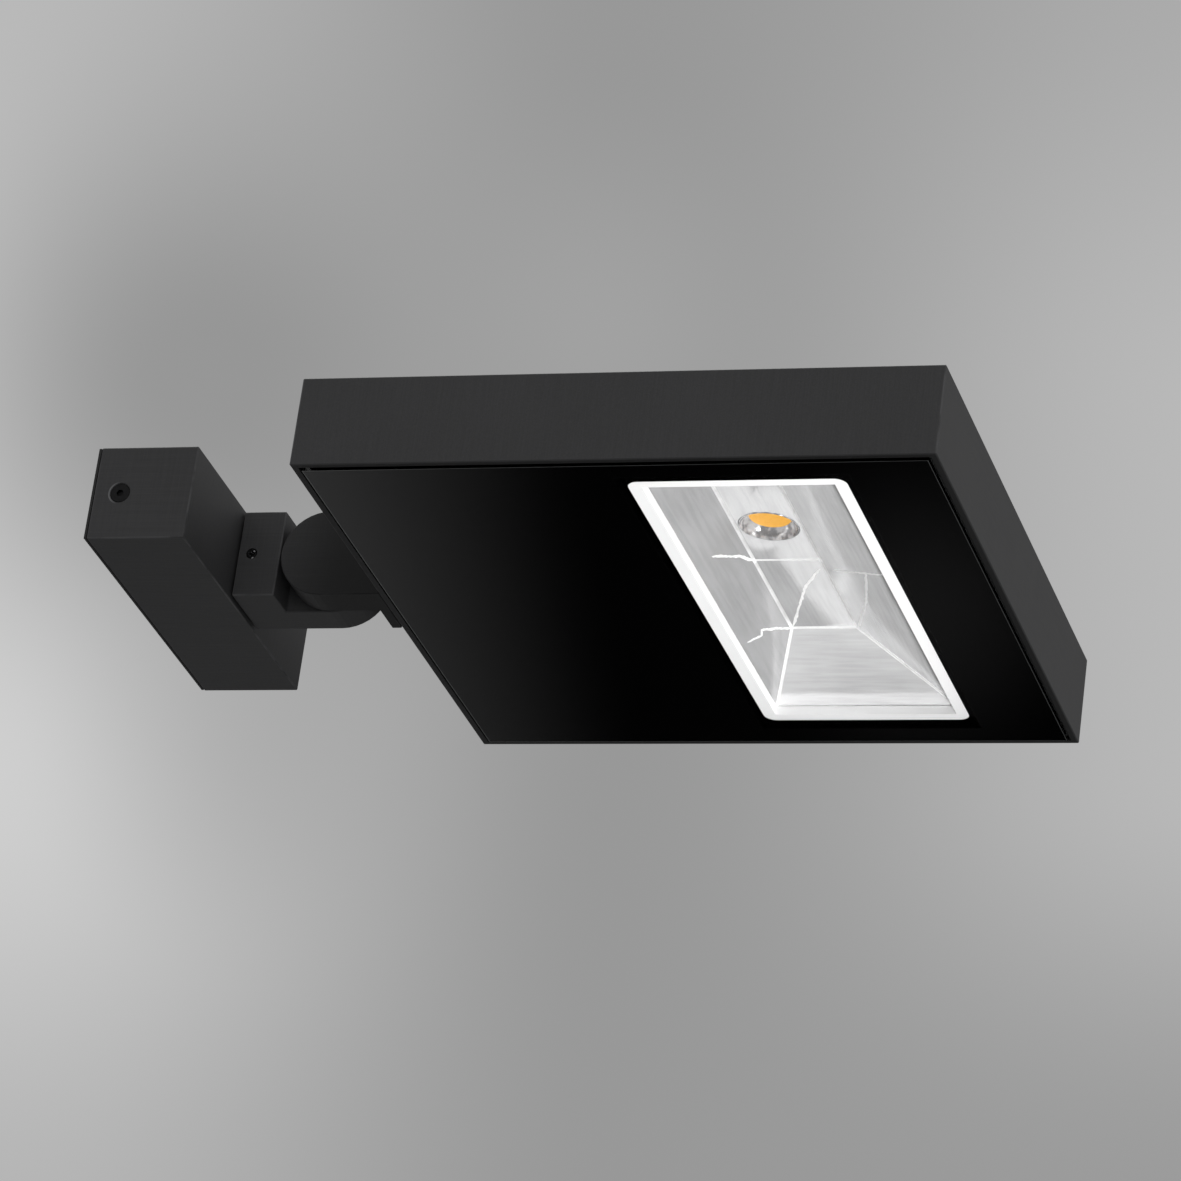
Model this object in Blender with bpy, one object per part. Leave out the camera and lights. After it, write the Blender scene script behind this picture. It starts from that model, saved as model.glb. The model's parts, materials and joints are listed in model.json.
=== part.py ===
# Wall-mounted LED floodlight: a flat square head on a two-axis knuckle and a wall box
# Units are metres. +Z is up, the wall is the plane Y = 0 and the light reaches out along -Y.
# The origin is the centre of the mounting plate's back face, which lies on the wall.
import bpy
import bmesh
import math
from mathutils import Matrix, Vector

# Fits shared by all pieces
FIT = 0.0003
CUT_OVERRUN = 0.002
EDGE_BREAK = 0.0004
ROUND_SEGMENTS = 40
SMALL_SEGMENTS = 20
SLOT_END_STEPS = 6
SMOOTH_ANGLE_DEG = 35
BEVEL_ANGLE_DEG = 40

# Wall box
WALL_BOX_LENGTH = 0.166
WALL_BOX_DEPTH = 0.050
WALL_BOX_HEIGHT = 0.0475
WALL_BOX_WALL = 0.003

# Gasket between the wall box and the wall
WALL_GASKET_THICKNESS = 0.0012
WALL_GASKET_WIDTH = 0.0024

# Mounting plate with one bent tab at each end
PLATE_THICKNESS = 0.002
TAB_REACH = 0.023
TAB_HEIGHT = 0.026
WALL_SLOT_SPACING = 0.120
WALL_SLOT_LENGTH = 0.010
WALL_SLOT_WIDTH = 0.0052

# Side screws that hold the wall box on the tabs
SIDE_SCREW_OUT = 0.0143
SIDE_SCREW_HEAD_RADIUS = 0.0049
SIDE_SCREW_RADIUS = 0.0025
SIDE_SCREW_LENGTH = 0.0125
SIDE_SCREW_SINK = 0.0002
SIDE_SOCKET_ACROSS = 0.0032
SIDE_SOCKET_DEPTH = 0.0016
SIDE_NUT_ACROSS = 0.008
SIDE_NUT_THICKNESS = 0.004

# Cable entry in the mounting plate
ENTRY_X = -0.030
ENTRY_HOLE_RADIUS = 0.0095
ENTRY_BORE_RADIUS = 0.0045
GROMMET_LIP_RADIUS = 0.0120
GROMMET_LIP_THICKNESS = 0.0020

# Terminal block and earth screw
TERMINAL_X = 0.034
TERMINAL_LENGTH = 0.030
TERMINAL_HEIGHT = 0.020
TERMINAL_DEPTH = 0.015
TERMINAL_POLES = 3
TERMINAL_PITCH = 0.010
TERMINAL_WIRE_RADIUS = 0.0018
TERMINAL_SCREW_RADIUS = 0.0021
TERMINAL_SCREW_LENGTH = 0.0042
SCREW_SLOT_WIDTH = 0.0007
SCREW_SLOT_DEPTH = 0.0009
EARTH_X = -0.051
EARTH_HEAD_RADIUS = 0.0040
EARTH_HEAD_THICKNESS = 0.0026
EARTH_SHANK_RADIUS = 0.0020

# Hollow spigot that the knuckle turns on
SPIGOT_RADIUS = 0.008
SPIGOT_BORE_RADIUS = 0.0045
SPIGOT_COLLAR_RADIUS = 0.011
SPIGOT_COLLAR_THICKNESS = 0.0025
SPIGOT_ENGAGEMENT = 0.015
SPIGOT_GROOVE_RADIUS = 0.007
SPIGOT_TAIL = 0.002
SWIVEL_NUT_ACROSS = 0.024
SWIVEL_NUT_THICKNESS = 0.006
SWIVEL_WASHER_RADIUS = 0.0125
SWIVEL_WASHER_THICKNESS = 0.0012
SWIVEL_SEAL_RADIUS = 0.017
SWIVEL_SEAL_THICKNESS = 0.0004

# Knuckle: a block and a round cheek on each half
KNUCKLE_WIDTH = 0.037
KNUCKLE_HEIGHT = 0.044
BLOCK_THICKNESS = 0.021
CHEEK_CLEARANCE = 0.0005
HEAD_BLOCK_THICKNESS = 0.005
HEAD_BLOCK_CLEARANCE = 0.003
FRICTION_THICKNESS = 0.0004
FRICTION_MARGIN = 0.0008
POCKET_RADIUS = 0.012
POCKET_DEPTH = 0.009
CABLE_WAY_RADIUS = 0.0036
CABLE_WAY_X = 0.0078
CABLE_TURN_ROOM = 0.0035

# Grub screw that locks the swivel
GRUB_OUT = 0.0576
GRUB_RADIUS = 0.0025
GRUB_SINK = 0.0005
GRUB_SOCKET_ACROSS = 0.0027
GRUB_SOCKET_DEPTH = 0.0022

# Pivot bolt that clamps the two cheeks
PIVOT_RADIUS = 0.004
PIVOT_HEAD_RADIUS = 0.0065
PIVOT_HEAD_THICKNESS = 0.004
PIVOT_WASHER_THICKNESS = 0.001
PIVOT_SINK = 0.0003
PIVOT_THREAD_DEPTH = 0.0055
PIVOT_SOCKET_ACROSS = 0.005
PIVOT_SOCKET_DEPTH = 0.0024

# Head housing: a square tray that opens downwards
HEAD_LENGTH = 0.300
HEAD_REACH = 0.300
HEAD_HEIGHT = 0.044
HEAD_WALL = 0.0032
HEAD_BACK = 0.0035
LEDGE_WIDTH = 0.007
LEDGE_THICKNESS = 0.0025

# Cover glass and its gasket
GLASS_THICKNESS = 0.003
GLASS_PROUD = 0.0008
GLASS_EDGE_GAP = 0.0006
GLASS_BREAK = 0.0004
GLASS_GASKET_THICKNESS = 0.0014
GLASS_GASKET_WIDTH = 0.0052

# Clear window of the glass, which the bezel frames from behind
WINDOW_NEAR_MARGIN = 0.02645
WINDOW_FAR_MARGIN = 0.02205
WINDOW_OUTER_MARGIN = 0.04805
WINDOW_WIDTH = 0.1015

# White bezel round the reflector's mouth
BEZEL_SHOW = 0.006
BEZEL_FLANGE = 0.012
BEZEL_THICKNESS = 0.0012
BEZEL_WALL_HEIGHT = 0.0045
BEZEL_EAR_RADIUS = 0.0052
BEZEL_EAR_HEIGHT = 0.005
BEZEL_EAR_OFFSET = 0.0083
BEZEL_SCREW_RADIUS = 0.0015
BEZEL_SCREW_HEAD_RADIUS = 0.0028
BEZEL_SCREW_HEAD_THICKNESS = 0.0018
BEZEL_SCREW_LENGTH = 0.010
PILLAR_RADIUS = 0.0042

# Folded reflector
REFLECTOR_SHEET = 0.0010
REFLECTOR_HEM = 0.0012
REFLECTOR_DEPTH = 0.023
ROOF_NEAR_RUN = 0.0315
ROOF_FAR_RUN = 0.0410
ROOF_WALL_SIDE_RUN = 0.0155
ROOF_OUTER_RUN = 0.0420

# LED, holder and heat path
LED_SETBACK = 0.06205
CUP_MOUTH_RADIUS = 0.0136
CUP_THROAT_RADIUS = 0.0103
CUP_LIP = 0.0006
CUP_LIP_DROP = 0.0005
HOLDER_RADIUS = 0.0210
HOLDER_THICKNESS = 0.0032
PHOSPHOR_RADIUS = 0.0098
PHOSPHOR_THICKNESS = 0.0005
BOARD_SIDE = 0.028
BOARD_THICKNESS = 0.0015
PAD_SIDE = 0.030
SPREADER_SIDE = 0.064
PAD_THICKNESS_SHARE = 0.15
LED_SCREW_OFFSET = 0.0176
LED_SCREW_RADIUS = 0.00125
LED_SCREW_HEAD_RADIUS = 0.0023
LED_SCREW_HEAD_THICKNESS = 0.0013
LED_SCREW_BITE_SHARE = 2 / 3
SPREADER_SCREW_OFFSET = 0.0270
SPREADER_SCREW_RADIUS = 0.0015
SPREADER_SCREW_HEAD_RADIUS = 0.0028
SPREADER_SCREW_HEAD_THICKNESS = 0.0018
BACK_THREAD_DEPTH = 0.002

# LED driver on the back of the head
DRIVER_LENGTH = 0.150
DRIVER_WIDTH = 0.062
DRIVER_HEIGHT = 0.025
DRIVER_GAP = 0.00725
DRIVER_FOOT_LENGTH = 0.013
DRIVER_FOOT_THICKNESS = 0.002
DRIVER_BREAK = 0.0015
DRIVER_SCREW_RADIUS = 0.0018
DRIVER_SCREW_HEAD_RADIUS = 0.0034
DRIVER_SCREW_HEAD_THICKNESS = 0.0024

# Screws and gland between the knuckle and the head
NECK_SCREW_X = 0.0135
NECK_SCREW_HIGH = 0.0140
NECK_SCREW_LOW = 0.0104
NECK_SCREW_RADIUS = 0.0025
NECK_SCREW_BITE = 0.0038
NECK_SCREW_HEAD_RADIUS = 0.0042
NECK_SCREW_HEAD_THICKNESS = 0.003
NECK_SOCKET_ACROSS = 0.003
NECK_SOCKET_DEPTH = 0.0016
GLAND_RADIUS = 0.0048
GLAND_COLLAR_RADIUS = 0.0066
GLAND_COLLAR_THICKNESS = 0.0050
GLAND_BORE_RADIUS = 0.0034

# Leads that stay inside
SUPPLY_LEAD_RADIUS = 0.0030
SUPPLY_LEAD_SAG = 0.006
LED_LEAD_RADIUS = 0.0009
LED_LEAD_SPACING = 0.0040
LED_LEAD_RISE = 0.0022
SUPPLY_LEAD_STEPS = 10
LED_LEAD_STEPS = 12
LEAD_SEGMENTS = 2

# Places along the outward direction, measured from the wall
BOX_BACK_OUT = WALL_GASKET_THICKNESS + FIT
BOX_FRONT_INNER_OUT = WALL_BOX_DEPTH - WALL_BOX_WALL
SEAM = SWIVEL_SEAL_THICKNESS + 2 * FIT
BLOCK_BACK_OUT = WALL_BOX_DEPTH + SEAM
BLOCK_FRONT_OUT = BLOCK_BACK_OUT + BLOCK_THICKNESS
CHEEK_RADIUS = KNUCKLE_HEIGHT / 2
PIVOT_OUT = BLOCK_FRONT_OUT + CHEEK_CLEARANCE + CHEEK_RADIUS
HEAD_BLOCK_OUT = PIVOT_OUT + CHEEK_RADIUS + HEAD_BLOCK_CLEARANCE
HEAD_OUT = HEAD_BLOCK_OUT + HEAD_BLOCK_THICKNESS + FIT
CHEEK_HALF_GAP = FRICTION_THICKNESS / 2 + FIT
KNUCKLE_SIDE = KNUCKLE_WIDTH / 2

# Heights in the head, whose middle plane is Z = 0
HEAD_TOP = HEAD_HEIGHT / 2
HEAD_BOTTOM = -HEAD_TOP
BACK_INNER = HEAD_TOP - HEAD_BACK
GLASS_OUTER = HEAD_BOTTOM - GLASS_PROUD
GLASS_INNER = GLASS_OUTER + GLASS_THICKNESS
GASKET_BOTTOM = GLASS_INNER + FIT
LEDGE_BOTTOM = GASKET_BOTTOM + GLASS_GASKET_THICKNESS + FIT
BEZEL_BOTTOM = GLASS_INNER + FIT
BEZEL_TOP = BEZEL_BOTTOM + BEZEL_WALL_HEIGHT
MOUTH_LEVEL = BEZEL_TOP + FIT
ROOF_LEVEL = MOUTH_LEVEL + REFLECTOR_DEPTH
HOLDER_BOTTOM = ROOF_LEVEL + REFLECTOR_SHEET + FIT
HOLDER_TOP = HOLDER_BOTTOM + HOLDER_THICKNESS
BOARD_BOTTOM = HOLDER_TOP + FIT
BOARD_TOP = BOARD_BOTTOM + BOARD_THICKNESS
STACK_ROOM = BACK_INNER - BOARD_TOP - 3 * FIT
PAD_THICKNESS = STACK_ROOM * PAD_THICKNESS_SHARE
PAD_BOTTOM = BOARD_TOP + FIT
SPREADER_BOTTOM = PAD_BOTTOM + PAD_THICKNESS + FIT
SPREADER_TOP = BACK_INNER - FIT

# Window, which keeps its margins to the head's edges
WINDOW_LENGTH = HEAD_LENGTH - WINDOW_NEAR_MARGIN - WINDOW_FAR_MARGIN
WINDOW_X = (WINDOW_NEAR_MARGIN - WINDOW_FAR_MARGIN) / 2
WINDOW_OUT = HEAD_OUT + HEAD_REACH - WINDOW_OUTER_MARGIN - WINDOW_WIDTH / 2

# Mouth and roof of the reflector, seen from below
MOUTH_HALF_LENGTH = WINDOW_LENGTH / 2 - BEZEL_SHOW
MOUTH_HALF_WIDTH = WINDOW_WIDTH / 2 - BEZEL_SHOW
ROOF_NEAR_X = WINDOW_X - MOUTH_HALF_LENGTH + ROOF_NEAR_RUN
ROOF_FAR_X = WINDOW_X + MOUTH_HALF_LENGTH - ROOF_FAR_RUN
ROOF_WALL_SIDE_OUT = WINDOW_OUT - MOUTH_HALF_WIDTH + ROOF_WALL_SIDE_RUN
ROOF_OUTER_OUT = WINDOW_OUT + MOUTH_HALF_WIDTH - ROOF_OUTER_RUN
LED_X = ROOF_NEAR_X + LED_SETBACK
LED_OUT = (ROOF_WALL_SIDE_OUT + ROOF_OUTER_OUT) / 2
DRIVER_OUT = WINDOW_OUT - MOUTH_HALF_WIDTH - BEZEL_FLANGE - DRIVER_GAP - DRIVER_WIDTH / 2

ORIGIN = Vector((0, 0, 0))
SWIVEL_POINT = Vector((0, -BLOCK_BACK_OUT, 0))
PIVOT_POINT = Vector((0, -PIVOT_OUT, 0))
HEAD_POINT = Vector((0, -HEAD_OUT - HEAD_REACH / 2, 0))

COLOURS = {
    "graphite": ((0.040, 0.040, 0.042), 0.55, 0.35),
    "zinc": ((0.55, 0.56, 0.57), 0.35, 1.0),
    "black_steel": ((0.03, 0.03, 0.03), 0.40, 0.8),
    "brass": ((0.72, 0.53, 0.24), 0.35, 1.0),
    "bare_aluminium": ((0.72, 0.73, 0.74), 0.40, 1.0),
    "bright_aluminium": ((0.86, 0.87, 0.88), 0.18, 1.0),
    "chrome": ((0.80, 0.80, 0.82), 0.08, 1.0),
    "black_glass": ((0.004, 0.004, 0.005), 0.05, 0.0),
    "white_plastic": ((0.85, 0.85, 0.84), 0.45, 0.0),
    "black_rubber": ((0.02, 0.02, 0.02), 0.80, 0.0),
    "grey_silicone": ((0.30, 0.30, 0.31), 0.75, 0.0),
    "phosphor": ((0.90, 0.48, 0.06), 0.60, 0.0),
    "coated_board": ((0.85, 0.84, 0.80), 0.50, 0.0),
    "red_sheath": ((0.45, 0.02, 0.02), 0.50, 0.0),
}

# Directions that turned pieces and prisms are built along
ALONG = {
    "+X": Matrix.Rotation(math.pi / 2, 4, "Y"),
    "-X": Matrix.Rotation(-math.pi / 2, 4, "Y"),
    "+Y": Matrix.Rotation(-math.pi / 2, 4, "X"),
    "-Y": Matrix.Rotation(math.pi / 2, 4, "X"),
    "+Z": Matrix.Identity(4),
    "-Z": Matrix.Rotation(math.pi, 4, "X"),
}


def material(finish):
    found = bpy.data.materials.get(finish)
    if found:
        return found
    colour, roughness, metallic = COLOURS[finish]
    made = bpy.data.materials.new(finish)
    made.use_nodes = True
    shader = made.node_tree.nodes["Principled BSDF"]
    shader.inputs["Base Color"].default_value = (*colour, 1.0)
    shader.inputs["Roughness"].default_value = roughness
    shader.inputs["Metallic"].default_value = metallic
    made.diffuse_color = (*colour, 1.0)
    return made


def place(name, bm, at, parent, finish, smooth=False):
    mesh = bpy.data.meshes.new(name)
    bmesh.ops.recalc_face_normals(bm, faces=bm.faces)
    bm.to_mesh(mesh)
    bm.free()
    if smooth:
        mesh.shade_smooth()
        mesh.set_sharp_from_angle(angle=math.radians(SMOOTH_ANGLE_DEG))
    piece = bpy.data.objects.new(name, mesh)
    bpy.context.collection.objects.link(piece)
    piece.parent = parent
    carrier = Vector(parent["place"]) if parent else ORIGIN
    piece.location = Vector(at) - carrier
    if finish:
        mesh.materials.append(material(finish))
    return piece


def axis_empty(name, at, parent):
    empty = bpy.data.objects.new(name, None)
    bpy.context.collection.objects.link(empty)
    empty["place"] = tuple(at)
    empty.parent = parent
    empty.location = Vector(at) - (Vector(parent["place"]) if parent else ORIGIN)
    return empty


def add_box(bm, low, high):
    made = bmesh.ops.create_cube(bm, size=1.0)
    low = Vector(low)
    high = Vector(high)
    for vert in made["verts"]:
        vert.co = Vector(low[i] + (vert.co[i] + 0.5) * (high[i] - low[i]) for i in range(3))


def add_prism(bm, outline, start, end, direction="+Z"):
    # outline is a closed list of points across the direction, start and end lie along it
    turn = ALONG[direction]
    low = [bm.verts.new(turn @ Vector((x, y, start))) for x, y in outline]
    high = [bm.verts.new(turn @ Vector((x, y, end))) for x, y in outline]
    bm.faces.new(low)
    bm.faces.new(high)
    count = len(outline)
    for i in range(count):
        j = (i + 1) % count
        bm.faces.new((low[i], low[j], high[j], high[i]))


def add_turned(bm, profile, direction="+Z", at=(0, 0, 0), segments=ROUND_SEGMENTS):
    # profile is a closed list of (radius, along) points; a point on the axis has radius zero
    turn = Matrix.Translation(at) @ ALONG[direction]
    rings = []
    for radius, along in profile:
        if radius == 0:
            rings.append([bm.verts.new(turn @ Vector((0, 0, along)))])
            continue
        ring = []
        for i in range(segments):
            angle = 2 * math.pi * i / segments
            spot = Vector((radius * math.cos(angle), radius * math.sin(angle), along))
            ring.append(bm.verts.new(turn @ spot))
        rings.append(ring)
    for k, ring in enumerate(rings):
        after = rings[(k + 1) % len(rings)]
        if len(ring) == 1 and len(after) == 1:
            continue
        for i in range(segments):
            j = (i + 1) % segments
            corners = [ring[i % len(ring)], ring[j % len(ring)], after[j % len(after)], after[i % len(after)]]
            bm.faces.new(list(dict.fromkeys(corners)))


def disc_profile(radius, start, end):
    return [(0, start), (radius, start), (radius, end), (0, end)]


def ring_profile(inner, outer, start, end):
    return [(inner, start), (outer, start), (outer, end), (inner, end)]


def polygon(across, sides=6):
    radius = across / 2 / math.cos(math.pi / sides)
    return [(radius * math.cos(2 * math.pi * (i + 0.5) / sides),
             radius * math.sin(2 * math.pi * (i + 0.5) / sides)) for i in range(sides)]


def add_nested(bm, loops, closed):
    # loops are rectangles (low_x, high_x, low_y, high_y, z), joined one to the next
    rings = []
    for x0, x1, y0, y1, z in loops:
        rings.append([bm.verts.new(point) for point in ((x0, y0, z), (x1, y0, z), (x1, y1, z), (x0, y1, z))])
    pairs = list(zip(rings, rings[1:]))
    if closed:
        pairs.append((rings[-1], rings[0]))
    for low, high in pairs:
        for i in range(4):
            j = (i + 1) % 4
            bm.faces.new((low[i], low[j], high[j], high[i]))
    return rings


def rectangle(half_x, half_y, z):
    return (-half_x, half_x, -half_y, half_y, z)


def bevel(piece, width):
    soften = piece.modifiers.new("edge_break", "BEVEL")
    soften.width = width
    soften.segments = 1
    soften.limit_method = "ANGLE"
    soften.angle_limit = math.radians(BEVEL_ANGLE_DEG)


def boolean(piece, name, bm, operation="DIFFERENCE"):
    cutter = place(name, bm, piece_place(piece), piece.parent, None)
    cutter.hide_render = True
    cutter.display_type = "WIRE"
    change = piece.modifiers.new(name, "BOOLEAN")
    change.operation = operation
    change.solver = "EXACT"
    change.object = cutter


def piece_place(piece):
    carrier = Vector(piece.parent["place"]) if piece.parent else ORIGIN
    return piece.location + carrier


def socket_screw(name, at, direction, sizes, parent, finish):
    # along the direction: head from zero down to minus its thickness, shank from zero to its length
    head_radius, head_thickness, radius, length, across, depth = sizes
    bm = bmesh.new()
    top = -head_thickness
    profile = [(0, top), (head_radius - EDGE_BREAK, top), (head_radius, top + EDGE_BREAK), (head_radius, 0),
               (radius, 0), (radius, length - EDGE_BREAK), (radius - EDGE_BREAK, length), (0, length)]
    add_turned(bm, profile, direction, segments=SMALL_SEGMENTS)
    screw = place(name, bm, at, parent, finish, smooth=True)
    cutter = bmesh.new()
    add_prism(cutter, polygon(across), top - CUT_OVERRUN, top + depth, direction)
    boolean(screw, name + "_socket", cutter)


def build_mounting_plate(parent):
    half = WALL_BOX_LENGTH / 2 - WALL_BOX_WALL - FIT
    half_height = WALL_BOX_HEIGHT / 2 - WALL_BOX_WALL - FIT
    bm = bmesh.new()
    add_box(bm, (-half, -PLATE_THICKNESS, -half_height), (half, 0, half_height))
    plate = place("mounting_plate", bm, ORIGIN, parent, "zinc")
    tabs = bmesh.new()
    for side in (-1, 1):
        outer = side * half
        inner = side * (half - PLATE_THICKNESS)
        lapped = -PLATE_THICKNESS / 2
        low = (min(outer, inner), -TAB_REACH, -TAB_HEIGHT / 2)
        high = (max(outer, inner), lapped, TAB_HEIGHT / 2)
        add_box(tabs, low, high)
    boolean(plate, "plate_tabs", tabs, "UNION")
    holes = bmesh.new()
    add_turned(holes, disc_profile(ENTRY_HOLE_RADIUS, -CUT_OVERRUN, PLATE_THICKNESS + CUT_OVERRUN), "-Y",
               (ENTRY_X, 0, 0), SMALL_SEGMENTS)
    add_turned(holes, disc_profile(EARTH_SHANK_RADIUS + FIT, -CUT_OVERRUN, PLATE_THICKNESS + CUT_OVERRUN),
               "-Y", (EARTH_X, 0, 0), SMALL_SEGMENTS)
    for side in (-1, 1):
        middle = side * WALL_SLOT_SPACING / 2
        slot = []
        for turn in range(2):
            for step in range(SLOT_END_STEPS + 1):
                angle = math.pi * (step / SLOT_END_STEPS - 0.5 + turn)
                end = (WALL_SLOT_LENGTH - WALL_SLOT_WIDTH) / 2 * (1 if turn == 0 else -1)
                slot.append((middle + end + WALL_SLOT_WIDTH / 2 * math.cos(angle),
                             WALL_SLOT_WIDTH / 2 * math.sin(angle)))
        add_prism(holes, slot, -CUT_OVERRUN, PLATE_THICKNESS + CUT_OVERRUN, "-Y")
        reach = PLATE_THICKNESS + CUT_OVERRUN
        add_turned(holes, disc_profile(SIDE_SCREW_RADIUS + FIT, -reach, reach), "+X",
                   (side * half, -SIDE_SCREW_OUT, 0), SMALL_SEGMENTS)
    boolean(plate, "plate_holes", holes)


def build_wall_gasket(parent):
    half_x = WALL_BOX_LENGTH / 2 - FIT
    half_z = WALL_BOX_HEIGHT / 2 - FIT
    bm = bmesh.new()
    inner_x = half_x - WALL_GASKET_WIDTH
    inner_z = half_z - WALL_GASKET_WIDTH
    loops = [rectangle(half_x, half_z, 0), rectangle(half_x, half_z, WALL_GASKET_THICKNESS),
             rectangle(inner_x, inner_z, WALL_GASKET_THICKNESS), rectangle(inner_x, inner_z, 0)]
    add_nested(bm, loops, closed=True)
    bmesh.ops.transform(bm, matrix=ALONG["-Y"], verts=bm.verts)
    place("wall_gasket", bm, ORIGIN, parent, "black_rubber")


def build_wall_box(parent):
    half_x = WALL_BOX_LENGTH / 2
    half_z = WALL_BOX_HEIGHT / 2
    bm = bmesh.new()
    add_box(bm, (-half_x, -WALL_BOX_DEPTH, -half_z), (half_x, -BOX_BACK_OUT, half_z))
    box = place("wall_box", bm, ORIGIN, parent, "graphite")
    bevel(box, EDGE_BREAK)
    hollow = bmesh.new()
    add_box(hollow, (-half_x + WALL_BOX_WALL, -BOX_FRONT_INNER_OUT, -half_z + WALL_BOX_WALL),
            (half_x - WALL_BOX_WALL, CUT_OVERRUN, half_z - WALL_BOX_WALL))
    boolean(box, "wall_box_hollow", hollow)
    holes = bmesh.new()
    add_turned(holes, disc_profile(SPIGOT_RADIUS + FIT, BOX_FRONT_INNER_OUT - CUT_OVERRUN,
                                   WALL_BOX_DEPTH + CUT_OVERRUN), "-Y")
    for direction, side in (("+X", -1), ("-X", 1)):
        mouth = SIDE_SCREW_HEAD_RADIUS + FIT
        throat = SIDE_SCREW_RADIUS + FIT
        sink = SIDE_SCREW_SINK + mouth - throat
        profile = [(0, -CUT_OVERRUN), (mouth, -CUT_OVERRUN), (mouth, SIDE_SCREW_SINK), (throat, sink),
                   (throat, WALL_BOX_WALL + CUT_OVERRUN), (0, WALL_BOX_WALL + CUT_OVERRUN)]
        add_turned(holes, profile, direction, (side * half_x, -SIDE_SCREW_OUT, 0), SMALL_SEGMENTS)
    boolean(box, "wall_box_holes", holes)


def build_side_screws(parent):
    half_x = WALL_BOX_LENGTH / 2
    tab_inner = half_x - WALL_BOX_WALL - FIT - PLATE_THICKNESS
    cone = SIDE_SCREW_HEAD_RADIUS - SIDE_SCREW_RADIUS
    for name, direction, side in (("near", "+X", -1), ("far", "-X", 1)):
        bm = bmesh.new()
        profile = [(0, 0), (SIDE_SCREW_HEAD_RADIUS - EDGE_BREAK, 0),
                   (SIDE_SCREW_HEAD_RADIUS, EDGE_BREAK / 2), (SIDE_SCREW_RADIUS, cone),
                   (SIDE_SCREW_RADIUS, SIDE_SCREW_LENGTH), (0, SIDE_SCREW_LENGTH)]
        add_turned(bm, profile, direction, segments=SMALL_SEGMENTS)
        start = (side * (half_x - SIDE_SCREW_SINK), -SIDE_SCREW_OUT, 0)
        screw = place("side_screw_" + name, bm, start, parent, "black_steel", smooth=True)
        socket = bmesh.new()
        add_prism(socket, polygon(SIDE_SOCKET_ACROSS), -CUT_OVERRUN, SIDE_SOCKET_DEPTH, direction)
        boolean(screw, "side_socket_" + name, socket)
        nut = bmesh.new()
        add_prism(nut, polygon(SIDE_NUT_ACROSS), 0, SIDE_NUT_THICKNESS, direction)
        seat = side * (tab_inner - FIT)
        body = place("side_nut_" + name, nut, (seat, -SIDE_SCREW_OUT, 0), parent, "zinc")
        bore = bmesh.new()
        bore_end = SIDE_NUT_THICKNESS + CUT_OVERRUN
        add_turned(bore, disc_profile(SIDE_SCREW_RADIUS + FIT, -CUT_OVERRUN, bore_end), direction,
                   segments=SMALL_SEGMENTS)
        boolean(body, "side_nut_bore_" + name, bore)


def build_cable_grommet(parent):
    waist = ENTRY_HOLE_RADIUS - FIT
    lip_start = PLATE_THICKNESS + FIT
    lip_end = lip_start + GROMMET_LIP_THICKNESS
    bm = bmesh.new()
    profile = [(ENTRY_BORE_RADIUS, FIT), (waist, FIT), (waist, lip_start), (GROMMET_LIP_RADIUS, lip_start),
               (GROMMET_LIP_RADIUS, lip_end - EDGE_BREAK), (GROMMET_LIP_RADIUS - EDGE_BREAK, lip_end),
               (ENTRY_BORE_RADIUS + EDGE_BREAK, lip_end), (ENTRY_BORE_RADIUS, lip_end - EDGE_BREAK)]
    add_turned(bm, profile, "-Y", segments=SMALL_SEGMENTS)
    place("cable_grommet", bm, (ENTRY_X, 0, 0), parent, "black_rubber", smooth=True)


def build_terminal_block(parent):
    seat = PLATE_THICKNESS + FIT
    front = seat + TERMINAL_DEPTH
    bm = bmesh.new()
    add_box(bm, (-TERMINAL_LENGTH / 2, -front, -TERMINAL_HEIGHT / 2),
            (TERMINAL_LENGTH / 2, -seat, TERMINAL_HEIGHT / 2))
    block = place("terminal_block", bm, (TERMINAL_X, 0, 0), parent, "white_plastic")
    bevel(block, EDGE_BREAK)
    places = [(i - (TERMINAL_POLES - 1) / 2) * TERMINAL_PITCH for i in range(TERMINAL_POLES)]
    wires = bmesh.new()
    wells = bmesh.new()
    reach = TERMINAL_HEIGHT / 2 + CUT_OVERRUN
    well = TERMINAL_SCREW_RADIUS + FIT
    for x in places:
        add_turned(wires, disc_profile(TERMINAL_WIRE_RADIUS, -reach, reach), "+Z",
                   (x, -seat - TERMINAL_DEPTH / 3, 0), SMALL_SEGMENTS)
        floor = front - TERMINAL_SCREW_LENGTH - 2 * FIT
        add_turned(wells, disc_profile(well, floor, front + CUT_OVERRUN), "-Y", (x, 0, 0), SMALL_SEGMENTS)
    boolean(block, "terminal_wire_ways", wires)
    boolean(block, "terminal_wells", wells)
    for number, x in enumerate(places, 1):
        screw = bmesh.new()
        add_turned(screw, disc_profile(TERMINAL_SCREW_RADIUS, -TERMINAL_SCREW_LENGTH, 0), "-Y",
                   segments=SMALL_SEGMENTS)
        spot = (TERMINAL_X + x, -front + FIT, 0)
        body = place("terminal_screw_%d" % number, screw, spot, parent, "brass", smooth=True)
        slot = bmesh.new()
        wide = TERMINAL_SCREW_RADIUS + CUT_OVERRUN
        half_slot = SCREW_SLOT_WIDTH / 2
        add_box(slot, (-wide, -CUT_OVERRUN, -half_slot), (wide, SCREW_SLOT_DEPTH, half_slot))
        boolean(body, "terminal_slot_%d" % number, slot)


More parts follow.
